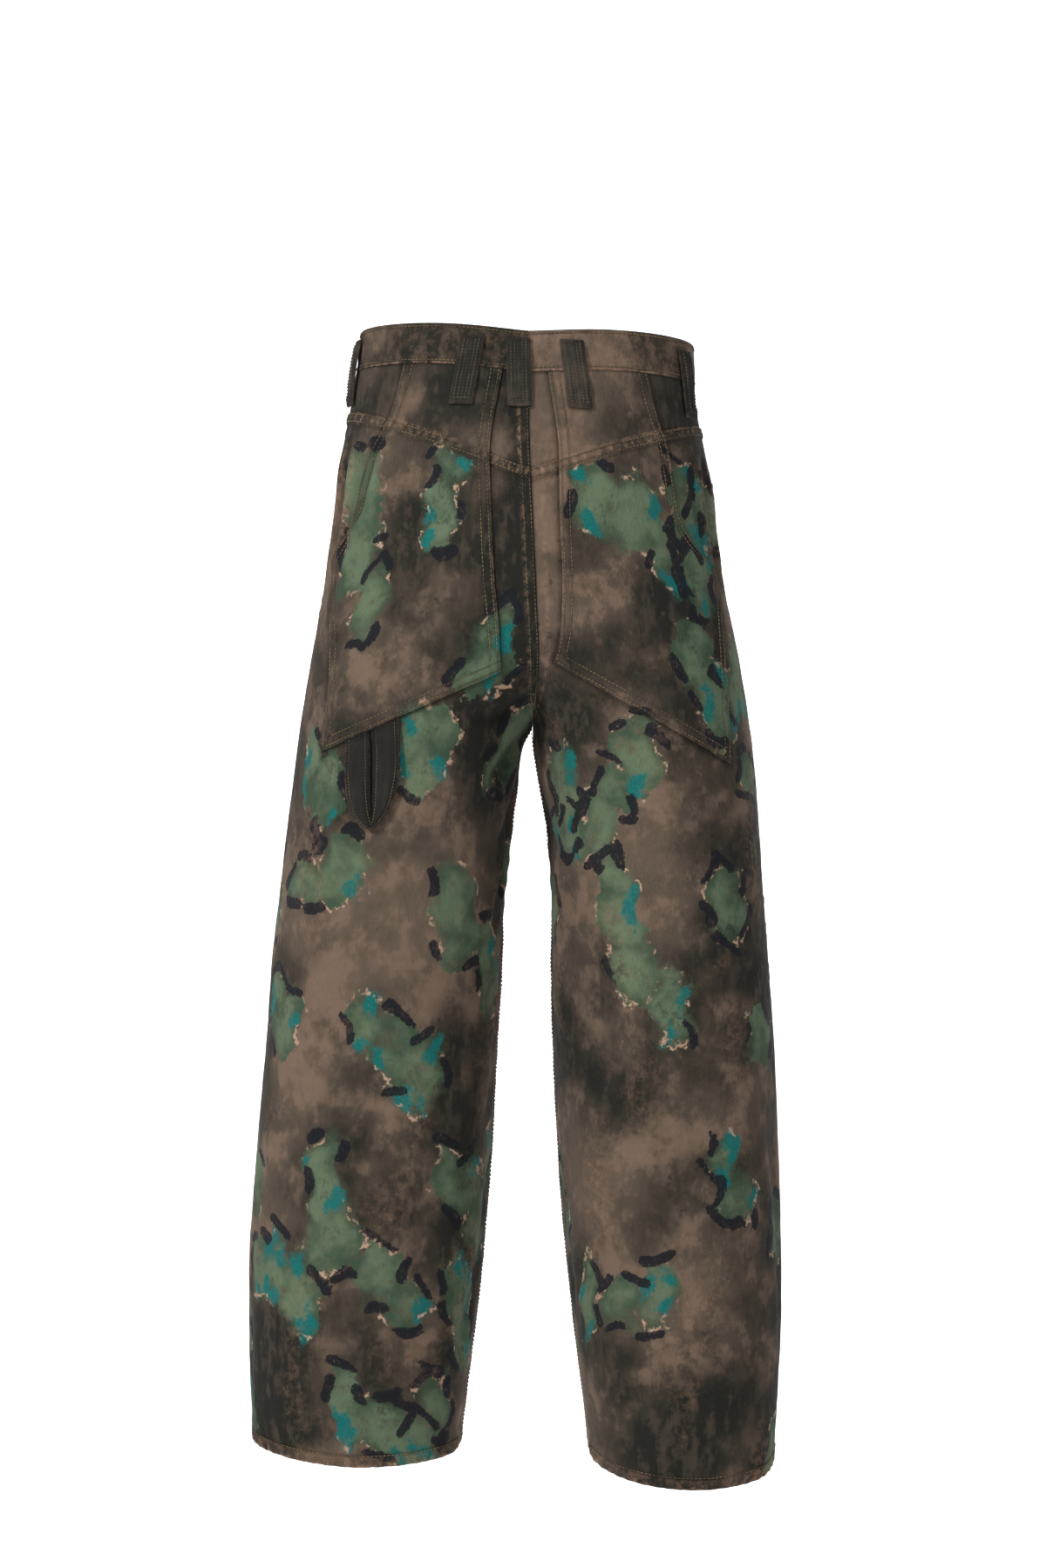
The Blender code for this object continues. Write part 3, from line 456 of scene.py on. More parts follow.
# Where the cloth is darker (above 0) or paler (below 0): side, angle, drop, reach round and reach down, in mm,
# and strength
STAINS = (
    (LEFT, 97, 970, 120, 55, 0.5), (RIGHT, 97, 980, 120, 55, 0.35), (LEFT, 68, 60, 110, 50, 0.85),
    (RIGHT, 50, 60, 90, 35, -0.15), (LEFT, 118, 260, 50, 55, 0.8), (LEFT, 60, 240, 50, 50, -0.2),
    (RIGHT, 40, 240, 35, 75, 0.45), (RIGHT, 95, 260, 30, 50, -0.15), (LEFT, 150, 400, 80, 90, 0.6),
    (LEFT, 165, 550, 30, 160, 0.4), (RIGHT, 165, 360, 40, 80, 0.25), (LEFT, 90, 450, 60, 50, -0.2),
    (RIGHT, 85, 470, 60, 60, -0.3), (LEFT, 100, 800, 80, 50, 0.35), (RIGHT, 110, 900, 60, 80, 0.3),
    (LEFT, 80, 620, 70, 60, -0.15), (RIGHT, 75, 780, 60, 60, -0.25), (LEFT, 40, 900, 60, 60, 0.25),
    (LEFT, -90, 300, 60, 80, 0.4), (RIGHT, -90, 330, 60, 90, 0.4), (LEFT, -70, 600, 60, 80, -0.25),
    (RIGHT, -80, 580, 60, 80, -0.25), (LEFT, -100, 850, 70, 80, 0.3), (RIGHT, -60, 850, 70, 80, 0.3))


def stain_field(side, angle, drop):
    """Sum of the soft round darker and paler places of the table. Beside the middle seam of the seat the left
    side is charcoal, and the right side is bleached."""
    at = around(side, angle, drop)
    total = np.zeros(np.shape(at))
    for stain_side, turn, low, wide, tall, strength in STAINS:
        if stain_side == side:
            centre = around(side, turn, MM * low)
            total += strength * peak(at, MM * wide, centre) * peak(drop, MM * tall, MM * low)
    beside = peak(from_seams(side, angle, drop, True)[1], 0.024)
    if side == LEFT:
        return total + 1.1 * beside * ease((0.42 - drop) / 0.10)
    return total - 1.2 * beside * ease((drop - 0.09) / 0.05) * ease((0.31 - drop) / 0.06)


class Shade:
    """Wraps a node's output, so that sums on values are written as Python: each adds a Math node."""

    def __init__(self, tree, socket=None):
        self.tree, self.socket = tree, socket

    def add(self, kind, settings, values, out=0):
        """Adds a node: its settings first, then numbers, colours or links into its sockets."""
        node = self.tree.nodes.new(kind)
        for name, value in settings.items():
            setattr(node, name, value)
        for key, value in values.items():
            if isinstance(value, Shade):
                value.feed(node.inputs[key])
            else:
                node.inputs[key].default_value = value
        return Shade(self.tree, node.outputs[out])

    def feed(self, socket):
        """Links this value into a socket."""
        self.tree.links.new(self.socket, socket)

    def math(self, operation, *terms):
        """A Math node on this value and the terms."""
        return self.add("ShaderNodeMath", {"operation": operation}, dict(enumerate((self, *terms))))

    def __add__(self, other):
        return self.math("ADD", other)

    def __sub__(self, other):
        return self.math("SUBTRACT", other)

    def __rsub__(self, other):
        return self.add("ShaderNodeMath", {"operation": "SUBTRACT"}, {0: other, 1: self})

    def __mul__(self, other):
        return self.math("MULTIPLY", other)

    __radd__, __rmul__ = __add__, __mul__

    def soft(self, low, high):
        """0 below low and 1 above high, eased between."""
        return self.add("ShaderNodeMapRange", {"interpolation_type": "SMOOTHSTEP"},
                        {0: self, 1: low, 2: high})

    def tint(self, under, over):
        """Two colours, mixed by this value. Colours in words are #rrggbb, as in a paint chart."""
        under, over = (colour(paint) if isinstance(paint, str) else paint for paint in (under, over))
        return self.add("ShaderNodeMix", {"data_type": "RGBA"}, {0: self, 6: under, 7: over}, out=2)

    def scaled(self, size):
        """A vector's parts, each times its own number."""
        return self.add("ShaderNodeVectorMath", {"operation": "MULTIPLY"}, {0: self, 1: size})

    def parts(self):
        """A vector's three parts."""
        split = self.add("ShaderNodeSeparateXYZ", {}, {0: self}).socket.node
        return [Shade(self.tree, part) for part in split.outputs]

    def noise(self, scale, detail=3.0, rough=0.55):
        """Cloudy noise of about 0.3 to 0.7, read at this vector."""
        return self.add("ShaderNodeTexNoise", {},
                        {"Vector": self, "Scale": scale, "Detail": detail, "Roughness": rough})

    def uneven(self, scale, detail=3.0, rough=0.55):
        """The same noise about 0."""
        return self.noise(scale, detail, rough) - 0.5

    def kept(self, name):
        """The three values that a piece keeps at its points under a name."""
        return self.add("ShaderNodeAttribute", {"attribute_name": name}, {}, out="Vector")


def colour(text):
    """A colour written as in a paint chart, #rrggbb, as the linear values that shaders take."""
    parts = np.array([int(text[k:k + 2], 16) for k in (1, 3, 5)]) / 255
    return (*np.where(parts <= 0.04045, parts / 12.92, ((parts + 0.055) / 1.055) ** 2.4), 1.0)


def new_finish(name, constants):
    """A new material with some constant sockets: itself, its shader's sockets, and the place on a piece."""
    material = bpy.data.materials.new(name)
    material.use_nodes = True
    sockets = material.node_tree.nodes["Principled BSDF"].inputs
    for title, value in constants.items():
        sockets[title].default_value = value
    return material, sockets, Shade(material.node_tree).add("ShaderNodeTexCoord", {}, {}, out="Object")


def dyed_denim(name, brown, pale, charcoal):
    """Mottled twill: charcoal blotches over brown, bleached worn edges, a diagonal weave, and paint where the
    piece's own values say so. The piece's values also give painted shade: near-black mixed in where shade
    falls, in grooves, creases and beside raised parts."""
    matt = {"Sheen Weight": 0.03, "Sheen Roughness": 0.6, "Specular IOR Level": 0.11}
    material, sockets, place = new_finish(name, matt)
    weave_at = place.kept("cloth")
    green_in, daub_in, teal_in = place.kept("paint").parts()
    # the tone's third value is painted shade, for grooves, creases and the sides of raised parts
    stain, wear, painted_shade = place.kept("tone").parts()

    # dye: clouds, blots and streaks of charcoal over brown, with paler brown and drops
    clouds, blots = place.noise(6.5, 3.0, 0.5), place.noise(19.0, 4.0, 0.55)
    mottle = place.scaled((1.0, 1.0, 0.75)).noise(80.0, 4.0, 0.66)
    grain = place.scaled((1.0, 1.0, 0.6)).noise(420.0, 3.0, 0.65)
    fine = place.noise(1100.0, 2.0, 0.6)
    streaks = place.scaled((1.0, 1.0, 0.2)).noise(75.0, 3.0, 0.6)
    dark = clouds * 0.90 + blots * 0.36 + mottle * 0.18 + streaks * 0.11 + stain * 0.22
    thin = (mottle + streaks).soft(0.95, 1.22) * 0.36
    ground = (dark.soft(0.640, 0.915) * (1 - thin)).tint(brown, charcoal)
    ground = ((blots + mottle * 0.6).soft(0.84, 0.68) * dark.soft(0.86, 0.68) * 0.65).tint(ground, pale)
    drops = place.noise(95.0, 2.0, 0.5).soft(0.62, 0.67) * clouds.soft(0.50, 0.58) * 0.45
    ground = drops.tint(ground, charcoal)

    # green patches with a ragged edge, hard in places and faded in others, and rubbed inside
    ragged, torn = place.uneven(58.0, 4.0, 0.6) * 34.0, place.uneven(240.0, 3.0, 0.65) * 6.0
    green_at = green_in + ragged + torn - 1.6
    fading = place.noise(19.0, 2.0).soft(0.44, 0.58)
    hard, mild = green_at.soft(-0.6, 0.8), green_at.soft(-9.0, 12.0)
    rubbed = (place.noise(46.0, 4.0, 0.7) * 0.7 + grain * 0.4).soft(0.555, 0.70)
    deep = place.noise(24.0, 4.0, 0.6) + green_in.soft(18.0, 2.0) * 0.13
    cover = (hard + (mild - hard) * fading) * (1 - rubbed * 0.60)
    painted = cover.tint(ground, deep.soft(0.42, 0.72).tint("#63735b", "#3f513f"))

    # teal spots in the green, pale flecks along its edge, and black daubs over all
    teal_at = teal_in + place.uneven(85.0, 4.0, 0.7) * 26.0 + torn * 2.0
    teal = teal_at.soft(-1.0, 4.6) * (1 - rubbed * 0.35) * green_at.soft(-6.0, -2.0)
    painted = (teal * 0.92).tint(painted, fine.soft(0.35, 0.65).tint("#085e5c", "#0b7572"))
    edge = (green_at + place.uneven(85.0, 3.0, 0.7) * 9.0).math("ABSOLUTE").soft(3.0, 0.7)
    flecks = edge * place.noise(44.0, 2.0).soft(0.51, 0.58) * place.noise(170.0, 3.0, 0.65).soft(0.44, 0.54)
    painted = (flecks * 0.9).tint(painted, "#c2a088")
    daub = (daub_in + ragged * 0.12 + torn * 0.95).soft(-0.5, 0.6) * (1 - grain.soft(0.57, 0.69) * 0.4)
    painted = (daub * 0.94).tint(painted, "#191a21")

    # worn ridges, painted shade in grooves and creases, and the diagonal weave with its uneven yarns
    bleach = wear * (place.noise(150.0, 3.0, 0.7) * 1.1 + fine * 0.3).soft(0.60, 0.86)
    painted = (bleach * 0.75).tint(painted, "#a5836d")
    # painted shade: near-black mixed in by the tone's third value
    painted = (painted_shade * 0.66).tint(painted, "#151310")
    across, down, _ = weave_at.parts()
    twill = (across * 3000.0 + down * 2600.0 + place.uneven(90.0, 2.0) * 2.2).math("SINE")
    slub = weave_at.scaled((1.0, 0.12, 1.0)).uneven(900.0, 2.0, 0.6)
    light = twill * 0.075 + slub * 0.5 + (fine - 0.5) * 0.35 + 1.0
    place.add("ShaderNodeVectorMath", {"operation": "SCALE"},
              {0: painted, "Scale": light}).feed(sockets["Base Color"])
    (0.93 - (daub + teal) * 0.12 + (grain - 0.5) * 0.2).feed(sockets["Roughness"])
    crumple = place.uneven(34.0, 3.0, 0.5) * 0.0045 + place.uneven(95.0, 3.0, 0.5) * 0.0016
    high = (twill * 0.00009 + slub * 0.00040 + (fine - 0.5) * 0.0003 + (grain - 0.5) * 0.0008
            + crumple + cover * 0.00012)
    place.add("ShaderNodeBump", {},
              {"Strength": 0.75, "Distance": 1.0, "Height": high}).feed(sockets["Normal"])
    return material


def joined(*values):
    """Values side by side at each point, such as a piece's stain, wear and painted shade."""
    return np.stack(np.broadcast_arrays(*values), axis=-1)


def solid(name, points, faces, finish):
    """An object of points and faces in one finish, shaded smooth."""
    mesh = bpy.data.meshes.new(name)
    mesh.from_pydata(points.tolist(), [], faces)
    mesh.shade_smooth()
    mesh.materials.append(finish)
    piece = bpy.data.objects.new(name, mesh)
    bpy.context.scene.collection.objects.link(piece)
    return piece


def wall(name, outer, inner, cloth, tone, finish, paint=None, bevel=0.0):
    """A closed wall: a grid of outer points, a grid of inner ones, and a rim between their edges."""
    count = outer.shape[0] * outer.shape[1]
    index = np.arange(count).reshape(outer.shape[:2])
    quads = joined(index[:-1, :-1], index[:-1, 1:], index[1:, 1:], index[1:, :-1]).reshape(-1, 4)
    rim = np.concatenate((index[0, :-1], index[:-1, -1], index[-1, :0:-1], index[:0:-1, 0]))
    after = np.roll(rim, -1)
    faces = np.concatenate((quads, quads[:, ::-1] + count, joined(rim, rim + count, after + count, after)))
    points = np.concatenate((outer.reshape(-1, 3), inner.reshape(-1, 3)))
    a, b, c, d = (points[faces[:, k]] for k in range(4))
    if np.sum(a * (np.cross(b, c) + np.cross(c, d))) < 0:
        faces = faces[:, ::-1]
    piece = solid(name, points, faces.tolist(), finish)
    piece.data.set_sharp_from_angle(angle=np.radians(50))
    bare = np.full(outer.shape, BARE)
    paint = bare if paint is None else paint
    only_stain = tone * (1, 0, 0)
    for title, front, back in (("cloth", cloth, cloth), ("paint", paint, bare), ("tone", tone, only_stain)):
        layer = piece.data.attributes.new(title, "FLOAT_VECTOR", "POINT")
        layer.data.foreach_set("vector", np.concatenate((front, back)).astype(np.float32).ravel())
    if bevel:
        rounding = piece.modifiers.new("rounding", "BEVEL")
        rounding.width, rounding.segments = bevel, 2
        rounding.limit_method, rounding.angle_limit = "ANGLE", np.radians(50)
    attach(piece, "root")
    return piece


def laid(side, angle, drop, lift, share=1.0):
    """Points at a height over the cloth's middle, which follow its folds by a share."""
    high = relief(side, angle, drop) * share + lift
    return plain_surface(side, angle, drop) + outward(side, angle, drop) * high[..., None]


def panel_points(side, angle, drop, out, thick, at_middle=True):
    """Outer and inner grids of a panel; its first column, down to the crotch, is kept in the middle plane."""
    normal = outward(side, angle, drop)
    high = relief(side, angle, drop) + out
    if at_middle:
        normal[drop[:, 0] <= CROTCH, 0, 0] = 0.0
        normal /= np.linalg.norm(normal, axis=-1, keepdims=True)
    outer = plain_surface(side, angle, drop) + normal * high[..., None]
    inner = outer - normal * np.broadcast_to(thick, high.shape)[..., None]
    nearest = side * smooth(drop, MIDDLE, 1) + 0.00005
    for grid in (outer, inner):
        grid[..., 0] = side * np.maximum(side * grid[..., 0], nearest)
    return outer, inner


def leg_thickness(side, angle, drop):
    """Thickness of a leg panel, with the turned-up hem."""
    return CLOTH + HEM_EXTRA * bar(over_hem(side, angle, drop), -0.004, TURNED)


def cloth_at(side, angle, drop):
    """Place on the flat cloth: length round, drop."""
    return joined(around(side, angle, drop) * side, drop, 0.0)


# Inner and outer edges of the back pockets, beside which a shadow is painted on the cloth: drop and distance
# across from the middle, in mm
POCKETS = {
    LEFT: (
        MM * np.array((
            (40, 23.4), (116.5, 34.1), (171, 32.5), (225, 30.2), (270, 26.3), (310.3, 24.8))),
        MM * np.array((
            (40, 110.9), (89, 124.9), (106, 134.4), (127, 143), (150, 148), (174, 153.5), (194, 163.4),
            (217, 173.5), (250, 176.5), (298, 177), (345.5, 178.5), (387.5, 182.1)))),
    RIGHT: (
        MM * np.array((
            (40, 17.6), (114.7, 26.9), (169, 27.5), (228, 29.8), (268, 29), (299.9, 22.9))),
        MM * np.array((
            (40, 105.2), (87, 117.7), (104, 123.9), (131, 127.8), (160, 131.7), (179, 139.5), (197, 152.2),
            (207, 165), (237, 171.5), (273, 174.3), (334, 178.2), (384, 179.8))))}


def pocket_hem(side, across):
    """Drop of a back pocket's slanted hem at a distance across, and its slope."""
    corner, tip = (edge[-1] for edge in POCKETS[side])
    slope = (tip[0] - corner[0]) / (tip[1] - corner[1])
    return corner[0] + slope * (across - corner[1]), slope


def beside_pocket(side, angle, drop):
    """Distance from a back pocket's outline, above 0 outside it: the largest of those past its inner
    edge, its outer edge and its slanted hem."""
    across = side * plain_surface(side, angle, drop)[..., 0]
    hem, slope = pocket_hem(side, across)
    inner, outer = (smooth(drop, edge, 1) for edge in POCKETS[side])
    far = np.maximum(np.maximum((drop - hem) / np.hypot(1.0, slope), inner - across), across - outer)
    return np.where(np.sin(np.radians(angle)) > 0.05, far, 1.0)


def pocket_edge_shadow(side, angle, drop):
    """The painted shadow on the cloth beside a back pocket's edge."""
    return peak(beside_pocket(side, angle, drop), 0.0032)


def leg_tone(side, angle, drop, back):
    """Stain, wear and painted shade: seams and hem are worn on their ridges and have shade painted into their
    grooves, fold troughs get painted shade, and a painted shadow lies beside the back pockets.
    """
    from_side, from_inner = from_seams(side, angle, drop, back)
    up = over_hem(side, angle, drop)
    rise = relief(side, angle, drop)
    wear = (0.9 * peak(from_side, 0.0025, 0.0035) + 0.4 * peak(from_inner, 0.002, 0.009) + peak(up, 0.0022)
            + 0.3 * bar(up, 0.0, 0.010) + 0.40 * np.clip((rise - 0.0002) / 0.0010, 0.0, 1.0))
    # painted shade: in the seams' grooves, the hem's fold, the fold troughs and beside the back pockets
    painted_shade = (0.75 * peak(from_side, 0.0012) + 0.8 * peak(from_inner, 0.0012) + 0.5 * peak(up, 0.0012, TURNED)
             + 0.55 * np.clip(-(rise + 0.0004) / 0.0036, 0.0, 1.0) + pocket_edge_shadow(side, angle, drop))
    return joined(stain_field(side, angle, drop), wear, painted_shade)


def band_tone(side, angle, drop):
    """Wear and painted shade of the band under the yoke: its upper fold and puckers rub pale, and shade is
    painted into its grooves and between the puckers. The stain is 0."""
    below = under(side, angle, drop, YOKE_SIDE)
    at = around(side, angle, drop)
    rubbed = 0.5 + 0.5 * ripple(35, at, below, 0.050)
    raised = 0.5 + 0.5 * ladder(at, below)
    inside = bar(below, 0.002, 0.0082)
    wear = ((0.9 * peak(below, 0.0012, 0.0002) + 0.9 * inside * raised) * (0.4 + rubbed)
            + 0.5 * peak(below, 0.0012, 0.0100) * rubbed)
    # painted shade: in the stitch grooves, under the lower fold and between the raised puckers
    painted_shade = (0.75 * peaks(below, GROOVE, YOKE_ROWS) + 0.65 * peak(below, 0.0012, 0.0112)
             + 0.35 * inside * (1 - raised))
    return joined(0.0, wear, painted_shade)


def stitches(name, runs, finish, long=0.0030, pitch=0.0038, thick=0.00044):
    """Rows of sewing: each stitch is a short five-sided bar with tapered, sunk ends. A run is a line of
    points and the outward directions at them."""
    share, swell, rise = np.array(((-0.5, -0.3, 0.3, 0.5), (0.35, 1.0, 1.0, 0.35), (-0.6, 0.5, 0.5, -0.6)))
    spokes = np.arange(5) * 2 * np.pi / 5
    points, faces, total = [], [], 0
    for line, normal in runs:
        run = lengths(line)
        centre = np.arange(pitch / 2, run[-1] - pitch / 2, pitch)
        place = centre[:, None] + share * long
        at = joined(*(np.interp(place, run, line[:, k]) for k in range(3)))
        out = joined(*(np.interp(centre, run, normal[:, k]) for k in range(3)))
        out /= np.linalg.norm(out, axis=-1, keepdims=True)
        ahead = at[:, -1] - at[:, 0]
        ahead /= np.linalg.norm(ahead, axis=-1, keepdims=True)
        beside, out = np.cross(ahead, out)[:, None, None], out[:, None, None]
        ring = beside * np.cos(spokes)[:, None] + out * np.sin(spokes)[:, None]
        body = (at[:, :, None] + out * (rise * thick)[:, None, None] + ring * (swell * thick)[:, None, None])
        first = total + np.arange(len(centre))[:, None, None] * 20
        ring_at, spoke = np.arange(3)[:, None] * 5, np.arange(5)
        here, turned = first + ring_at + spoke, first + ring_at + (spoke + 1) % 5
        faces += joined(here, turned, turned + 5, here + 5).reshape(-1, 4).tolist()
        faces += np.concatenate((first[:, 0] + spoke[::-1], first[:, 0] + 15 + spoke)).tolist()
        points.append(body.reshape(-1, 3))
        total += len(centre) * 20
    piece = solid(name, np.concatenate(points), faces, finish)
    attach(piece, "root")
    return piece


def sewn(side, angle, drop, lift):
    """A run of sewing on the cloth: its points, at a lift, and the outward directions there."""
    return laid(side, angle, drop, lift), outward(side, angle, drop)


def hem_run(side, back):
    """The row of stitches above a leg's hem."""
    hip, inner = seam_angles(side, back, np.full(1, HEM - HEM_ROW))
    angle = hip + (inner - hip) * np.linspace(0, 1, 400)
    return sewn(side, angle, level_drop(side, angle, HEM - HEM_ROW), PANEL_OUT + 0.0002)


def seam_run(side, down, away, lift):
    """A row of stitches at some drops, a length away from the middle or inner seam at the back."""
    seam = seam_angles(side, True, down)[1]
    per_degree = around(side, seam, down) - around(side, seam - 1.0, down)
    return sewn(side, seam - away / per_degree, down, lift)


def thread_finish(name, shade_a, shade_b):
    """Matt spun thread, unevenly faded."""
    material, sockets, place = new_finish(name, {})
    place.noise(45.0).soft(0.38, 0.62).tint(shade_a, shade_b).feed(sockets["Base Color"])
    (place.noise(300.0) * 0.3 + 0.65).feed(sockets["Roughness"])
    return material


mottled = dyed_denim("mottled_denim", "#64564a", "#806b5b", "#252520")
olive_thread = thread_finish("olive_thread", "#4c4434", "#806f50")

for word, which in SIDES:
    angle, drop = ruled(which, True, *fine_levels(YOKE_SIDE), 12, 74)
    out = PANEL_OUT + yoke_band(which, angle, drop) + leg_seams(which, angle, drop, True)
    outer, inner = panel_points(which, angle, drop, out, leg_thickness(which, angle, drop))
    tone = leg_tone(which, angle, drop, True) + band_tone(which, angle, drop)
    panel = wall("back_leg_" + word, outer, inner, cloth_at(which, angle, drop), tone, mottled,
                 paint_fields(which, angle, drop))
    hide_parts("back_panel_" + word)
    down = np.linspace(CROTCH + 0.004, HEM - 0.004, 700)
    runs = [seam_run(which, down, away, PANEL_OUT + 0.0009) for away in (0.0018, 0.0078)]
    sewing = stitches("back_leg_sewing_" + word, [hem_run(which, True), *runs], olive_thread)


# ---------------------------------------------------------------------------------------------
# Front panels: one for each leg, with a scooped pocket mouth at the hip. The mouth's edge is
# turned in and sewn twice, and stands a little off the hip at its lower end. Behind it lies a
# facing of the same cloth, sewn into the band and the side seam.
MOUTH_END, MOUTH_SHARE, MOUTH_PROUD = 0.125, 0.53, 0.0028   # its lowest level, width at the band, stand-off
MOUTH_ROWS = (0.0028, 0.0108)                               # rows of stitches beside its edge
FACING_BACK, FACING_BEHIND = 0.00195, 1.4                   # depth behind the panel, degrees from the seam


def front_levels():
    """Levels of a front panel's rows at both seams, and how far short of the side seam each stops:
    the mouth is a quarter of an oval, level = sin and share = cos."""
    quarter = np.radians(90.0 * np.linspace(0, 1, 45)[:-1] ** 0.75)
    mouth = BAND_HEIGHT + (MOUTH_END - BAND_HEIGHT) * np.sin(quarter)
    into, out = fine_levels(MOUTH_END)
    out_share = np.concatenate((MOUTH_SHARE * np.cos(quarter), np.zeros(len(out))))
    seat = CROTCH - (CROTCH - BAND_HEIGHT) * (1 - np.linspace(0, 1, len(quarter) + 86)) ** 1.45
    return np.concatenate((seat, into[86:])), np.concatenate((mouth, out)), out_share


for word, which in SIDES:
    in_level, out_level, out_share = front_levels()
    angle, drop = ruled(which, False, in_level, out_level, 12, 70, out_share)
    to_edge = lengths(plain_surface(which, angle, drop)[:, ::-1], 1)[:, ::-1]
    open_edge = ease(out_share[:, None] / 0.05)
    from_seam, from_end = angle - smooth(drop, SEAMS, 1), under(which, angle, drop, MOUTH_END)
    proud = MOUTH_PROUD * peak(from_seam, 22.0) * peak(from_end, 0.045)
    pucker = ripple(which + 31, drop, to_edge, 0.012) * peak(to_edge, 0.007, 0.006)
    turned = open_edge * (0.0004 * bar(to_edge, -0.002, 0.0125) + 0.00035 * pucker
                          - 0.00045 * peaks(to_edge, GROOVE, MOUTH_ROWS))
    seams = leg_seams(which, angle, drop, False) * (1 - open_edge)
    outer, inner = panel_points(which, angle, drop, PANEL_OUT + proud + turned + seams,
                                leg_thickness(which, angle, drop))
    tone = leg_tone(which, angle, drop, False)
    tone[..., 1:] *= (1 - open_edge)[..., None]
    tone[..., 1] += open_edge * 1.1 * peak(to_edge, 0.0018)
    panel = wall("front_leg_" + word, outer, inner, cloth_at(which, angle, drop), tone, mottled,
                 paint_fields(which, angle, drop))
    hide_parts("front_panel_" + word)
    runs, rows = [], np.flatnonzero(out_share > 0.004)
    for away in MOUTH_ROWS:
        row_angle, row_drop, rise = np.array([[np.interp(away, to_edge[k, ::-1], values[k, ::-1]) for k in rows]
                                              for values in (angle, drop, proud + turned)])
        runs.append(sewn(which, row_angle, row_drop, PANEL_OUT + rise + 0.0001))
    sewing = stitches("front_leg_sewing_" + word, [*runs, hem_run(which, False)], olive_thread)

    share = np.linspace(MOUTH_SHARE + 0.06, 0.0, 34)[None, :]
    level = np.linspace(BAND_HEIGHT - 0.004, MOUTH_END + 0.025, 36)[:, None]
    angle, drop = settled(which, False, share, level, FACING_BEHIND)
    outer, inner = panel_points(which, angle, drop, -FACING_BACK, CLOTH, at_middle=False)
    # the facing lies in the recess behind the mouth and is painted with shade all over
    tone = joined(stain_field(which, angle, drop), 0.0, 0.25)
    facing = wall("front_pocket_facing_" + word, outer, inner, cloth_at(which, angle, drop), tone, mottled)
    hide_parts("front_facing_" + word)


# ---------------------------------------------------------------------------------------------
# Back yokes: two pieces that meet in a point at the middle of the back. Each is sewn between the
# waistband and the back panel, with a felled seam and two rows of stitches below its edge, and
# the two are joined by a felled seam that goes on down the seat.
for word, which in SIDES:
    level = np.concatenate((np.linspace(BAND_HEIGHT + 0.0002, YOKE_SIDE - 0.006, 22),
                            np.linspace(YOKE_SIDE - 0.005, YOKE_SIDE - 0.0001, 8)))
    angle, drop = ruled(which, True, level, level, 12, 74)
    from_inner = from_seams(which, angle, drop, True)[1]
    felled = 0.0009 * bar(from_inner, 0.0, FELLED) * (which == LEFT)
    tuck = 0.0007 * peak(under(which, angle, drop, YOKE_SIDE), 0.0012)
    out = PANEL_OUT + felled - tuck + yoke_band(which, angle, drop)
    outer, inner = panel_points(which, angle, drop, out, CLOTH)
    wear = 0.8 * peak(from_inner, 0.0016, FELLED) * (which == LEFT)
    # painted shade: in the middle seam's groove, under the waistband and beside the pocket
    painted_shade = (0.9 * peak(from_inner, 0.0012) + 0.9 * peak(under(which, angle, drop, BAND_HEIGHT), 0.0016)
             + pocket_edge_shadow(which, angle, drop))
    tone = joined(stain_field(which, angle, drop) + 0.04, wear, painted_shade)
    yoke = wall("back_yoke_cloth_" + word, outer, inner, cloth_at(which, angle, drop), tone, mottled)
    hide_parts("back_yoke_" + word)
    runs = []
    if which == LEFT:
        down = np.linspace(BAND_HEIGHT + 0.001, CROTCH - 0.012, 420)
        runs += [seam_run(which, down, away, PANEL_OUT + 0.00095) for away in (0.0016, 0.0080)]
    hip, inner_seam = seam_angles(which, True, np.full(1, YOKE_SIDE))
    across_band = hip + 0.3 + (inner_seam - hip - 0.6) * np.linspace(0, 1, 500)
    for below in YOKE_ROWS:
        row_drop = level_drop(which, across_band, YOKE_SIDE) + below
        runs.append(sewn(which, across_band, row_drop, PANEL_OUT + 0.0008))
    sewing = stitches("yoke_sewing_" + word, runs, olive_thread)


# ---------------------------------------------------------------------------------------------
# Back pockets: two large overlays that hang from the waistband over the yoke and the seat, as far
# as the thigh. Their edges are turned in and sewn twice, and the scooped upper part of the outer
# edge is left open for the hand.
LIP_DROP, LIP_LONG, LIP_WIDE = 0.185, 0.045, 0.25   # where the hand opening stands off, and how far
POCKET_BASE, POCKET_FACE = 0.0015, 0.0031           # heights of a pocket's inner and outer face
POCKET_ROWS = (0.0026, 0.0095)                      # rows of stitches beside its edges
UNDER_BAND = BAND_HEIGHT + 0.0006                   # the top of what hangs from the waistband


def angle_at(side, across, drop):
    """The angle, on the back, of a point at a distance across from the middle."""
    _, centre, half, _, deep = section(side, drop)
    beside = np.clip((across - centre) / half, -0.9995, 0.9995)
    up = deep * (1 - np.abs(beside) ** SQUARE) ** (1 / SQUARE)
    return np.degrees(np.arctan2(up, beside * half))


def pocket_spot(side, part, share):
    """Angle and drop of a pocket's point: straight lines between its two edges at shares of their length.
    Its top follows the waistband. The outer edge's drop is given too."""
    inner, outer = POCKETS[side]
    inner_drop, outer_drop = (UNDER_BAND + (edge[-1, 0] - UNDER_BAND) * share for edge in (inner, outer))
    inner_across, outer_across = smooth(inner_drop, inner, 1), smooth(outer_drop, outer, 1)
    across = inner_across + (outer_across - inner_across) * part
    head = angle_at(side, inner[0, 1] + (outer[0, 1] - inner[0, 1]) * part, UNDER_BAND)
    waved = level_drop(side, head, BAND_HEIGHT) - BAND_HEIGHT
    drop = inner_drop + (outer_drop - inner_drop) * part + waved * (1 - share) ** 2
    return angle_at(side, across, drop), drop, outer_drop


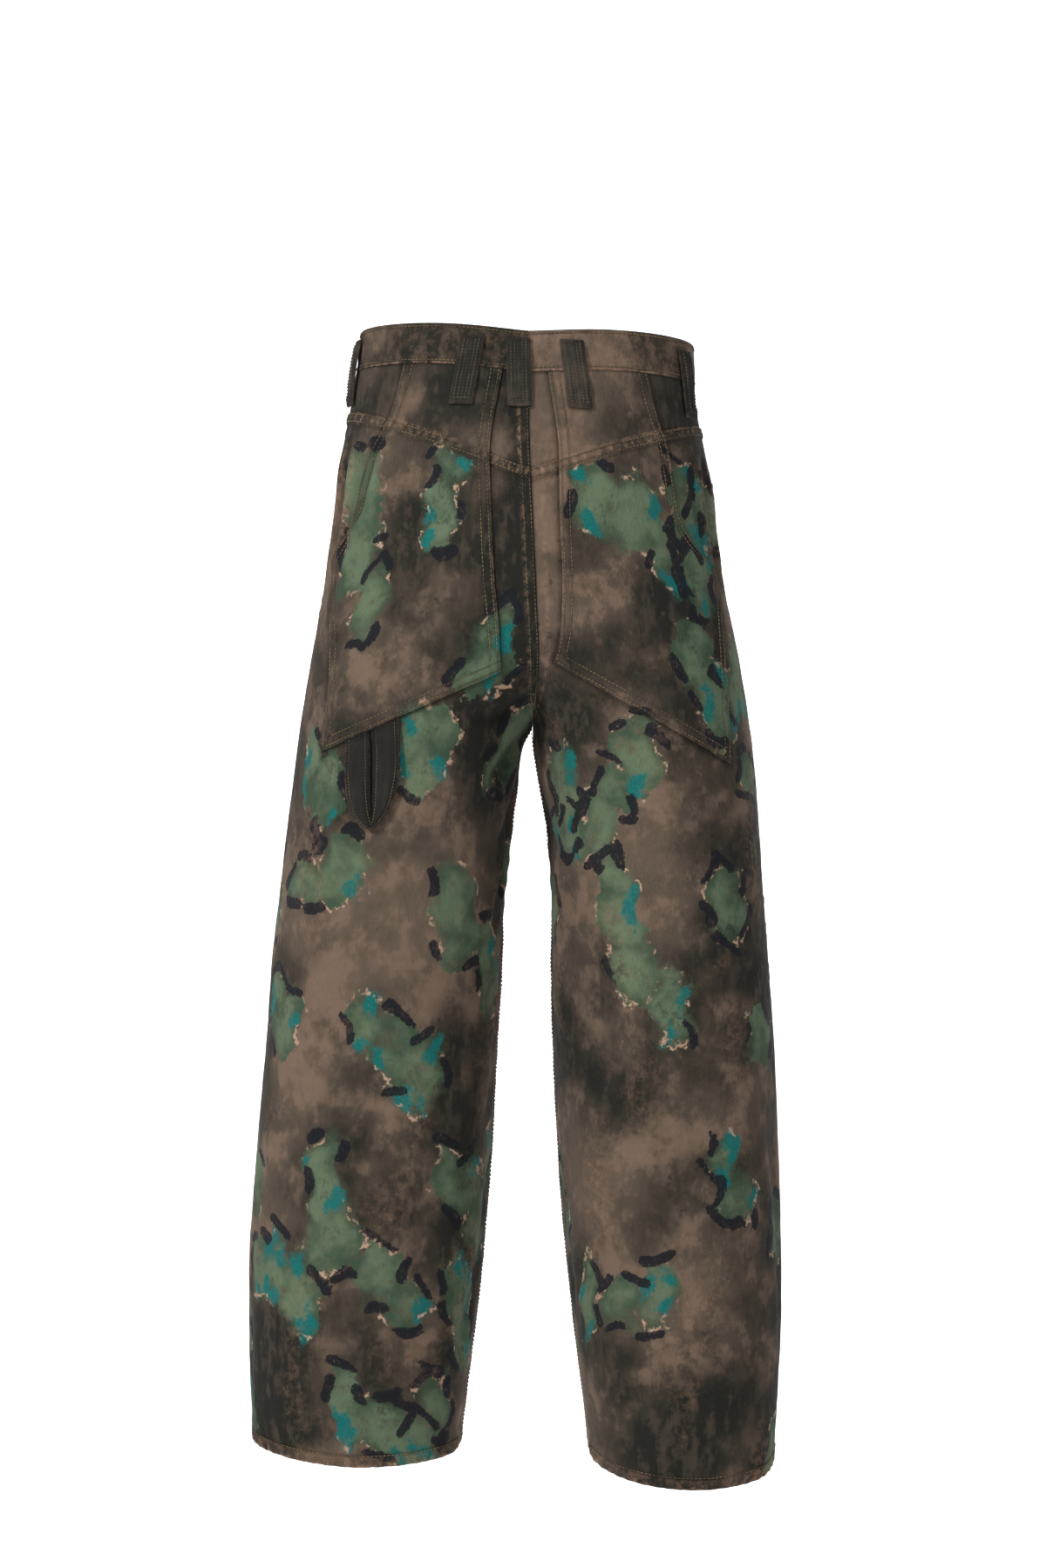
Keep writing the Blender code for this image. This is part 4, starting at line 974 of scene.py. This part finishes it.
def pocket_height(side, angle, drop, edges, lip):
    """Height of a pocket's outer face: the yoke's band shows through, the edges are thicker where they are
    turned in, and a groove and small puckers follow each row of stitches."""
    at = around(side, angle, drop)
    high = POCKET_FACE + lip + yoke_band(side, angle, drop) + 0.00035 * ripple(side + 41, at, drop, 0.045)
    for far, run, seed in zip(edges, (drop, drop, at), (51, 53, 55)):
        pucker = ripple(side + seed, run, far * 0.3, 0.011) * peak(far, 0.006, 0.007)
        high = (high + 0.00025 * bar(far, -0.002, TURNED) + 0.00022 * pucker
                - 0.0005 * peaks(far, GROOVE, POCKET_ROWS) - 0.0007 * peak(far, 0.0010))
    return high


def traced(grid, normal, field, value, lines, lift=0.00015):
    """A run of sewing over a grid: the point, on some lines of it, where a growing field has a value."""
    place = np.array([np.interp(value, field[k], np.arange(field.shape[1])) for k in lines])
    low = np.floor(place).astype(int)
    rest = (place - low)[:, None]
    line = grid[lines, low] * (1 - rest) + grid[lines, np.minimum(low + 1, grid.shape[1] - 1)] * rest
    return line + normal[lines, low] * lift, normal[lines, low]


for word, which in SIDES:
    share = np.concatenate((np.linspace(0, 0.34, 90)[:-1], np.linspace(0.34, 0.945, 66),
                            np.linspace(0.948, 1, 22)))[:, None]
    edge = np.linspace(0, 0.10, 13)
    part = np.concatenate((edge, np.linspace(0.10, 0.90, 44)[1:-1], 1 - edge[::-1]))[None, :]
    angle, drop, outer_drop = pocket_spot(which, part, share)
    plain = plain_surface(which, angle, drop)
    along, down = lengths(plain, 1), lengths(plain, 0)
    slant = np.cos(np.arctan2(drop[-1, -1] - drop[-1, 0], along[-1, -1]))
    edges = to_inner, to_outer, to_hem = along, along[:, -1:] - along, (down[-1:] - down) * slant
    lip = 0.0012 * peak(1 - part, LIP_WIDE) * peak(outer_drop, LIP_LONG, LIP_DROP)
    high = pocket_height(which, angle, drop, edges, lip)
    low = np.minimum(POCKET_BASE + lip + np.maximum(yoke_band(which, angle, drop), 0), high - 0.0010)
    outer, inner = laid(which, angle, drop, high), laid(which, angle, drop, low)
    opening = ease((0.215 - outer_drop) / 0.03) * ease((outer_drop - 0.085) / 0.03)
    rubbed = 0.5 + 0.5 * ripple(57, along, down, 0.060)
    puckered = 0.5 + 0.5 * ripple(57, along, to_hem * 0.4, 0.010)
    at_edges = 0.7 * peak(to_inner, 0.0014) + 0.8 * peak(to_outer, 0.0014) + 0.5 * peak(to_hem, 0.0016)
    wear = rubbed * at_edges + 0.15 * bar(to_hem, 0.001, TURNED) * puckered
    # painted shade: in the hand opening's strip, under the waistband and in the grooves of the stitch rows
    painted_shade = (0.65 * opening * bar(to_outer, 0.0005, 0.0115) + 0.85 * peak(down, 0.0016)
             + 0.4 * sum(peaks(far, 0.001, POCKET_ROWS) for far in edges))
    stain = stain_field(which, angle, drop) + 0.25 * peak(to_inner, 0.03)
    tone = joined(stain, wear, painted_shade) + band_tone(which, angle, drop) * (0.0, 0.8, 1.0)
    pocket = wall("back_pocket_cloth_" + word, outer, inner, cloth_at(which, angle, drop), tone, mottled,
                  paint_fields(which, angle, drop), bevel=0.0003)
    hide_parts("back_pocket_" + word)
    normal = outward(which, angle, drop)
    upright = outer.swapaxes(0, 1), normal.swapaxes(0, 1)
    runs = []
    for away in POCKET_ROWS:
        rows = np.flatnonzero(to_hem[:, 0] > away)
        columns = np.flatnonzero((to_inner[-1] > away) & (to_outer[-1] > away))
        runs += [traced(outer, normal, to_inner, away, rows), traced(outer, normal, -to_outer, -away, rows),
                 traced(*upright, -to_hem.T, -away, columns)]
    below = under(which, angle, drop, YOKE_SIDE).T
    runs += [traced(*upright, below, row, np.arange(4, len(below) - 4), 0.0001) for row in YOKE_ROWS]
    sewing = stitches("back_pocket_sewing_" + word, runs, olive_thread)


# ---------------------------------------------------------------------------------------------
# Waistband: a doubled strip 37 mm wide, sewn along both edges. It goes once round the waist and
# laps over itself at the front, where the button holds it.
UNDER_LAP, OVER_LAP = 6.0, 9.0              # degrees by which the band's ends pass the front middle
LAP_RISE, LAP_RAMP = 0.0032, 20.0           # how high the upper end lies, and the degrees of its rise
BAND_THICK, BAND_ROWS = 0.0025, (0.0030, 0.0335)
GIRTH_RADIUS = 0.129


def band_parts(turn, level, out):
    """Points of the waistband at turns from the front middle, levels below its edge and a height out,
    with the outward directions, the place on the flat cloth and the stain."""
    rise = LAP_RISE * ease((turn - (360.0 - LAP_RAMP - UNDER_LAP)) / LAP_RAMP)
    turned = np.mod(turn, 360.0)
    parts = []
    for side, angle in ((RIGHT, turned - 90.0), (LEFT, 270.0 - turned)):
        drop = level_drop(side, angle, level)
        normal = outward(side, angle, drop)
        point = plain_surface(side, angle, drop) + normal * (out + rise)[..., None]
        stain = stain_field(side, angle, drop)[..., None]
        parts.append(np.concatenate((point, normal, cloth_at(side, angle, drop), stain), axis=-1))
    here = np.where((turned <= 180.0)[..., None], *parts)
    return here[..., :3], here[..., 3:6], here[..., 6:9], here[..., 9]


turn, level = np.meshgrid(np.linspace(-UNDER_LAP, 360.0 + OVER_LAP, 560), np.concatenate(
    (np.linspace(0, 0.005, 8), np.linspace(0.0062, 0.0305, 18), np.linspace(0.032, 0.0368, 7))))
at = np.radians(turn) * GIRTH_RADIUS
crease = ripple(61, at + level * 0.9, level * 0.35 - at * 0.12, 0.024) * np.sin(np.pi * level / BAND_HEIGHT)
roll = 0.0005 * bar(level, -0.002, 0.0026, 0.001) - 0.0008 * peak(level, 0.0008)
pucker = ripple(63, at, level * 0.2, 0.010) * peaks(level, 0.003, (0.0045, 0.032))
high = (BAND_THICK / 2 + 0.0006 * crease + roll - 0.0004 * peaks(level, GROOVE, BAND_ROWS)
        + 0.00025 * pucker)
outer, _, cloth, stain = band_parts(turn, level, high)
inner = band_parts(turn, level, -BAND_THICK / 2)[0]
browner = ease((200.0 - turn) / 30.0) * ease(turn / 30) * 0.3
wear = 0.9 * peak(level, 0.0010, 0.0362) + 0.15 + browner * 0.4
# painted shade: along the rolled top edge and in the upper row's groove
painted_shade = 0.65 * peak(level, 0.0012) + 0.3 * peak(level, 0.001, BAND_ROWS[0])
tone = joined(stain + 0.35 - browner * 2.0, wear, painted_shade)
band = wall("waistband_cloth", outer, inner, cloth, tone, mottled)
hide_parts("waistband")
row_turn = np.linspace(-UNDER_LAP + 1.5, 360.0 + OVER_LAP - 1.2, 1400)
runs = [band_parts(row_turn, below, BAND_THICK / 2 + 0.0001)[:2] for below in BAND_ROWS]
band_sewing = stitches("waistband_sewing", runs, olive_thread)


# ---------------------------------------------------------------------------------------------
# Belt loops: seven strips of charcoal denim, folded in three and sewn down their length, with
# both ends turned under and sewn across, so that a belt passes behind.

# Name, side, angles of the top and the foot, their drops and the bow in mm, over a pocket or not
LOOPS = (
    ("back_left", LEFT, 63.5, 60.5, 12.5, 75.0, 1.5, True),
    ("back_centre", LEFT, 84.9, 85.7, 13.5, 75.0, 2.0, False),
    ("back_right", RIGHT, 69.2, 67.6, 13.0, 75.0, 1.5, True),
    ("side_left", LEFT, 7.0, 8.0, 11.0, 72.0, 3.2, False),
    ("side_right", RIGHT, 18.0, 17.0, 12.0, 73.5, 2.5, False),
    ("front_left", LEFT, -54.0, -54.0, 18.0, 80.0, 2.0, False),
    ("front_right", RIGHT, -54.0, -54.0, 18.0, 80.0, 2.0, False))
LOOP_WIDE, LOOP_THICK, LOOP_CLEAR, LOOP_RIB = 0.0215, 0.0025, 0.0006, 0.0066
HEAD_ROW, FOOT_ROW = 0.0035, 0.0052        # rows of stitches across a loop, from its top and its foot
charcoal_denim = dyed_denim("charcoal_denim", "#393530", "#4f473e", "#272623")
charcoal_thread = thread_finish("worn_thread", "#3f3a2c", "#655c44")

for word, side, top_angle, foot_angle, top_drop, foot_drop, bow, over_pocket in LOOPS:
    share = np.concatenate((np.linspace(0, 0.06, 5), np.linspace(0.08, 0.88, 34),
                            np.linspace(0.90, 1, 12)))[:, None]
    aside = np.linspace(-0.5, 0.5, 27)[None, :] * LOOP_WIDE
    long = MM * (foot_drop - top_drop)
    middle_drop, middle = MM * top_drop + long * share, top_angle + (foot_angle - top_angle) * share
    per_degree = np.linalg.norm(plain_surface(side, middle + 0.5, middle_drop)
                                - plain_surface(side, middle - 0.5, middle_drop), axis=-1)
    angle = middle + aside / per_degree
    drop = np.broadcast_to(middle_drop, angle.shape)
    foot_base = PANEL_OUT + (0.0024 if over_pocket else 0.0)
    base = BAND_THICK / 2 + (foot_base - BAND_THICK / 2) * ease((share - 0.35) / 0.4) + LOOP_CLEAR
    base = base + MM * bow * np.sin(np.pi * share) ** 0.7
    base = base if over_pocket else np.maximum(base, BAND_THICK / 2 + LOOP_CLEAR)
    to_side, to_head, to_foot = LOOP_WIDE / 2 - np.abs(aside), long * share, long - long * share
    rib = np.cos(2 * np.pi * aside / LOOP_RIB)
    groove = peak(to_foot, 0.0008, FOOT_ROW) + peak(to_head, 0.0008, HEAD_ROW)
    high = (base + LOOP_THICK + 0.00025 * rib + 0.00025 * ripple(71, to_head, aside, 0.011)
            + 0.0009 * bar(to_foot, -0.002, 0.0085, 0.003) - 0.0005 * groove
            - 0.0009 * peak(to_side, 0.0011) - 0.0007 * peak(to_foot, 0.0010))
    follow = ease((drop - BAND_HEIGHT) / 0.02)
    outer, inner = (laid(side, angle, drop, lift, follow) for lift in (high, base))
    wear = 0.22 * peak(to_side, 0.0010) + 0.25 * peak(to_foot, 0.0012)
    # painted shade: in the grooves of the end rows and between the ribs
    tone = joined(0.2, wear, 0.45 * groove + 0.35 * (0.5 - 0.5 * rib))
    loop = wall("belt_loop_cloth_" + word, outer, inner, joined(aside, drop, 0.0), tone, charcoal_denim,
                bevel=0.0004)
    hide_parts("belt_loop_" + word)
    normal = outward(side, angle, drop)
    runs = [(outer[3:-6, k] + normal[3:-6, k] * 0.0001, normal[3:-6, k]) for k in (5, 9, 17, 21)]
    foot = np.argmin(np.abs(to_foot[:, 0] - FOOT_ROW))
    runs.append((outer[foot, 1:-1] + normal[foot, 1:-1] * 0.0002, normal[foot, 1:-1]))
    sewing = stitches("belt_loop_sewing_" + word, runs, charcoal_thread, long=0.0024, pitch=0.0030)


# ---------------------------------------------------------------------------------------------
# Hammer loop: a charcoal strap that hangs from the hem of the left back pocket, folded to a point
# half way so that both widths hang side by side, with a narrow slit between them.

# Along the strap: share of its length, then, in mm, distance across from the middle and below the
# pocket's hem, for its outer edge and for the edge at the slit
STRAP = np.array((
    (0, 160.6, 0.6, 140.2, 0.6), (0.22, 160.8, 27, 138.8, 29), (0.38, 157, 60, 138.5, 64),
    (0.5, 137.8, 88.2, 137.8, 83.7), (0.62, 119.2, 70, 137, 64.5), (0.78, 113, 39.5, 136.7, 30),
    (1, 114.2, 0.6, 138.2, 0.6))) * (1.0, MM, MM, MM, MM)
STRAP_THICK, STRAP_PROUD, STRAP_ROW = 0.0030, 0.0055, 0.003

along = np.concatenate((np.linspace(0, 0.44, 44), np.linspace(0.452, 0.548, 19),
                        np.linspace(0.56, 1, 44)))[:, None]
part = np.linspace(0, 1, 25)[None, :]
edge_across, edge_below, slit_across, slit_below = (smooth(along, STRAP, column) for column in (1, 2, 3, 4))
across = edge_across + (slit_across - edge_across) * part
below = edge_below + (slit_below - edge_below) * part
drop = pocket_hem(LEFT, across)[0] + below
angle = angle_at(LEFT, across, drop)
base = 0.00135 + STRAP_PROUD * ease(below / 0.06) * (0.6 + 0.4 * np.sin(np.pi * part))
wide = np.hypot(edge_across - slit_across, edge_below - slit_below)
to_edge, to_slit = part * wide, (1 - part) * wide
high = (base + STRAP_THICK + 0.0003 * np.cos(2 * np.pi * part * 3)
        + 0.0004 * ripple(73, along * 0.2, part * 0.02, 0.018)
        - 0.0011 * (peak(to_edge, 0.0013) + peak(to_slit, 0.0013))
        - 0.0005 * peak(to_edge, GROOVE, STRAP_ROW))
outer, inner = (laid(LEFT, angle, drop, lift) for lift in (high, base))
wear = 0.35 * peak(to_edge, 0.0012) + 0.15 * peak(to_slit, 0.0012)
# painted shade: in the slit, where the strap goes under the pocket's hem, and along its row of stitches
painted_shade = 0.9 * peak(to_slit, 0.0030) + 0.8 * peak(below, 0.004) + 0.4 * peak(to_edge, 0.001, STRAP_ROW)
strap = wall("hammer_loop_cloth", outer, inner, joined(part * 0.022, along * 0.19, 0.0),
             joined(0.25, wear, painted_shade), charcoal_denim, bevel=0.0004)
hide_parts("hammer_loop")
normal = outward(LEFT, angle, drop)
runs = [(outer[:, k] + normal[:, k] * 0.0001, normal[:, k]) for k in (4, 20)]
strap_sewing = stitches("hammer_loop_sewing", runs, charcoal_thread, long=0.0024, pitch=0.0030)


# ---------------------------------------------------------------------------------------------
# Fly and button: the placket is a single layer on the left front, its curved foot sewn to the
# panel with two rows. A dished metal button is riveted through the lapped ends of the band.
FLY_WIDE, FLY_END, FLY_ROUND = 0.038, 0.205, 0.035
FLY_ROWS = (0.0030, 0.0085)                # rows of stitches beside its edge
BUTTON_WIDE, BUTTON_TALL, SPOKES = 0.017, 0.0045, 64

share = 1 - (1 - np.linspace(0, 1, 96)[:, None]) ** 1.6
part = np.linspace(0, 1, 31)[None, :]
drop = level_drop(LEFT, np.full((96, 1), -90.0), UNDER_BAND + (FLY_END - UNDER_BAND) * share)
above = np.clip((FLY_END - drop) / FLY_ROUND, 0.04, 1.0)
wide = FLY_WIDE * np.sqrt(1 - (1 - above) ** 2)
nearest = smooth(drop, MIDDLE, 1) + 0.0003
across = nearest + wide * part
drop = np.broadcast_to(drop, across.shape)
angle = -angle_at(LEFT, across, drop)
to_foot = np.maximum(FLY_END - drop, 0)
far = np.minimum((1 - part) * wide, to_foot * 1.4)
pucker = ripple(81, drop, across * 0.3, 0.012) * peak(far, 0.006, 0.007)
high = (POCKET_FACE - 0.0002 + 0.0003 * ripple(83, drop, across, 0.05) + 0.0003 * pucker
        - 0.0005 * peak(far, GROOVE, FLY_ROWS[0]) - 0.0007 * peak(far, 0.0010))
outer, inner = laid(LEFT, angle, drop, high), laid(LEFT, angle, drop, 0.00165)
for grid in (outer, inner):
    grid[..., 0] = np.maximum(grid[..., 0], nearest)
wear = 0.9 * peak(far, 0.0014) + 0.8 * peak(across - nearest, 0.0014)
# painted shade in the groove of the first row of stitches
tone = joined(stain_field(LEFT, angle, drop), wear, 0.2 * peak(far, 0.001, FLY_ROWS[0]))
fly = wall("fly_placket_cloth", outer, inner, cloth_at(LEFT, angle, drop), tone, mottled,
           paint_fields(LEFT, angle, drop), bevel=0.0003)
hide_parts("fly_placket")
runs = []
for away in FLY_ROWS:
    inside = np.clip(wide[:, 0] - away, 0.03 * FLY_WIDE, FLY_WIDE)
    row_angle = -angle_at(LEFT, nearest[:, 0] + inside, drop[:, 0])
    keep = to_foot[:, 0] > away * 0.6
    runs.append(sewn(LEFT, row_angle[keep], drop[keep, 0], POCKET_FACE + 0.0001))
fly_sewing = stitches("fly_sewing", runs, olive_thread)

# The button's outline, from the middle of its seat over its rim to the middle of its face: shares of
# its half width and of its height
PROFILE = np.array((
    (0.40, 0.0), (0.45, 0.10), (0.70, 0.22), (0.92, 0.35), (0.985, 0.50), (1.0, 0.65), (0.985, 0.82),
    (0.93, 0.95), (0.86, 1.0), (0.79, 0.97), (0.74, 0.88), (0.70, 0.80), (0.40, 0.74), (0.16, 0.72),
    (0.13, 0.78), (0.10, 0.86))) * (BUTTON_WIDE / 2, BUTTON_TALL)
FACE_MIDDLE = 0.90 * BUTTON_TALL
button_angle = np.array(-90.0 + (OVER_LAP - UNDER_LAP) / 2)
button_drop = level_drop(RIGHT, button_angle, BAND_HEIGHT / 2)
axis = outward(RIGHT, button_angle, button_drop)
seat = plain_surface(RIGHT, button_angle, button_drop) + axis * (BAND_THICK / 2 + LAP_RISE + 0.0006)
beside = np.cross(axis, (0.0, 0.0, 1.0))
beside /= np.linalg.norm(beside)
spin = np.linspace(0, 2 * np.pi, SPOKES, endpoint=False)[:, None]
wheel = beside * np.cos(spin) + np.cross(beside, axis) * np.sin(spin)
ring = seat + PROFILE[:, 0, None, None] * wheel + PROFILE[:, 1, None, None] * axis
points = np.concatenate((ring.reshape(-1, 3), [seat, seat + axis * FACE_MIDDLE]))
count = len(ring) * SPOKES
index = np.arange(count).reshape(-1, SPOKES)
after = np.roll(index, -1, axis=1)
faces = joined(index[:-1], index[1:], after[1:], after[:-1]).reshape(-1, 4).tolist()
faces += joined(index[0], after[0], count).tolist() + joined(after[-1], index[-1], count + 1).tolist()
metal, sockets, place = new_finish("aged_metal_button", {"Metallic": 1.0})
tarnish = place.noise(420.0, 4.0, 0.65)
tarnish.soft(0.42, 0.60).tint("#8a7859", "#4a4033").feed(sockets["Base Color"])
(tarnish * 0.5 + 0.18).feed(sockets["Roughness"])
button = solid("tack_button", points, faces, metal)
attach(button, "root")
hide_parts("waist_button")


# ---------------------------------------------------------------------------------------------
# Stage: a pale floor that curves up into a plain backdrop, soft studio light from the side of the camera, and
# the camera level with the knees, looking at the back of the jeans. The paper glows, though it is no lamp, and
# its glow lights the jeans too.
FLOOR, SWEEP = -1.19, 0.9                    # height of the floor, radius of its curve
BACK, FRONT, HALF_WIDE, TALL = -3.9, 6.0, 6.0, 5.5
CAMERA_AT, CAMERA_LENS = (0.0048, 3.25, -0.389), 81.3
WHITE = (1.0, 1.0, 1.0, 1.0)

bend = np.radians(np.linspace(0, 90, 25))
curve = joined(BACK - SWEEP * np.sin(bend), FLOOR + SWEEP * (1 - np.cos(bend)))
path = np.concatenate((((FRONT, FLOOR),), curve, ((BACK - SWEEP, TALL),)))
points = np.concatenate([np.insert(path, 0, x, axis=1) for x in (-HALF_WIDE, HALF_WIDE)])
row, count = np.arange(len(path) - 1), len(path)
paper, sockets, place = new_finish("glowing_backdrop_paper", {
    "Base Color": (0.86, 0.86, 0.86, 1.0), "Roughness": 1.0, "Specular IOR Level": 0.0,
    "Emission Strength": 1.0})
x, y, _ = place.parts()
# the paper's glow: white behind the jeans, and elsewhere a dim glow that grows with distance; it lights the
# jeans as well as showing white
glow = x.math("ABSOLUTE").soft(3.6, 1.5) * y.soft(0.10, -0.35)
dim_glow = (x * x + y * y).soft(4.0, 30.0).tint((0.12, 0.12, 0.12, 1.0), (0.55, 0.55, 0.55, 1.0))
glow.tint(dim_glow, WHITE).feed(sockets["Emission Color"])
backdrop = solid("backdrop", points, joined(row, row + 1, row + 1 + count, row + count).tolist(), paper)

world = bpy.data.worlds.new("studio")
world.use_nodes = True
sockets = world.node_tree.nodes["Background"].inputs
sockets["Color"].default_value = WHITE
seen = Shade(world.node_tree).add("ShaderNodeLightPath", {}, {}, out="Is Camera Ray")
(seen * 0.74 + 0.11).feed(sockets["Strength"])
bpy.context.scene.world = world
bpy.context.scene.view_settings.view_transform = "Standard"

# Lights: place, the point each is turned to, width, height, watts
LIGHTS = (
    ("key_left", (2.7, 3.0, 1.9), (0.0, 0.0, -0.55), 0.8, 0.9, 136.0),
    ("key_right", (-1.5, 3.8, -0.1), (0.0, 0.0, -0.5), 1.2, 2.0, 21.0),
    ("top", (-0.3, 1.2, 1.9), (0.0, 0.0, -0.3), 1.0, 0.8, 13.0),
    ("front_fill", (-1.8, -3.2, 1.9), (0.0, 0.0, -0.5), 1.0, 1.0, 30.0))
for name, place, target, width, height, watts in LIGHTS:
    lamp = bpy.data.lights.new(name, "AREA")
    lamp.shape, lamp.size, lamp.size_y, lamp.energy = "RECTANGLE", width, height, watts
    light = bpy.data.objects.new(name, lamp)
    light.location = place
    light.rotation_euler = (Vector(target) - Vector(place)).to_track_quat("-Z", "Y").to_euler()
    bpy.context.scene.collection.objects.link(light)

lens = bpy.data.cameras.new("camera")
lens.lens = CAMERA_LENS
camera = bpy.data.objects.new("camera", lens)
camera.location = CAMERA_AT
camera.rotation_euler = np.radians((90.0, 0.0, 180.0))
bpy.context.scene.collection.objects.link(camera)
bpy.context.scene.camera = camera
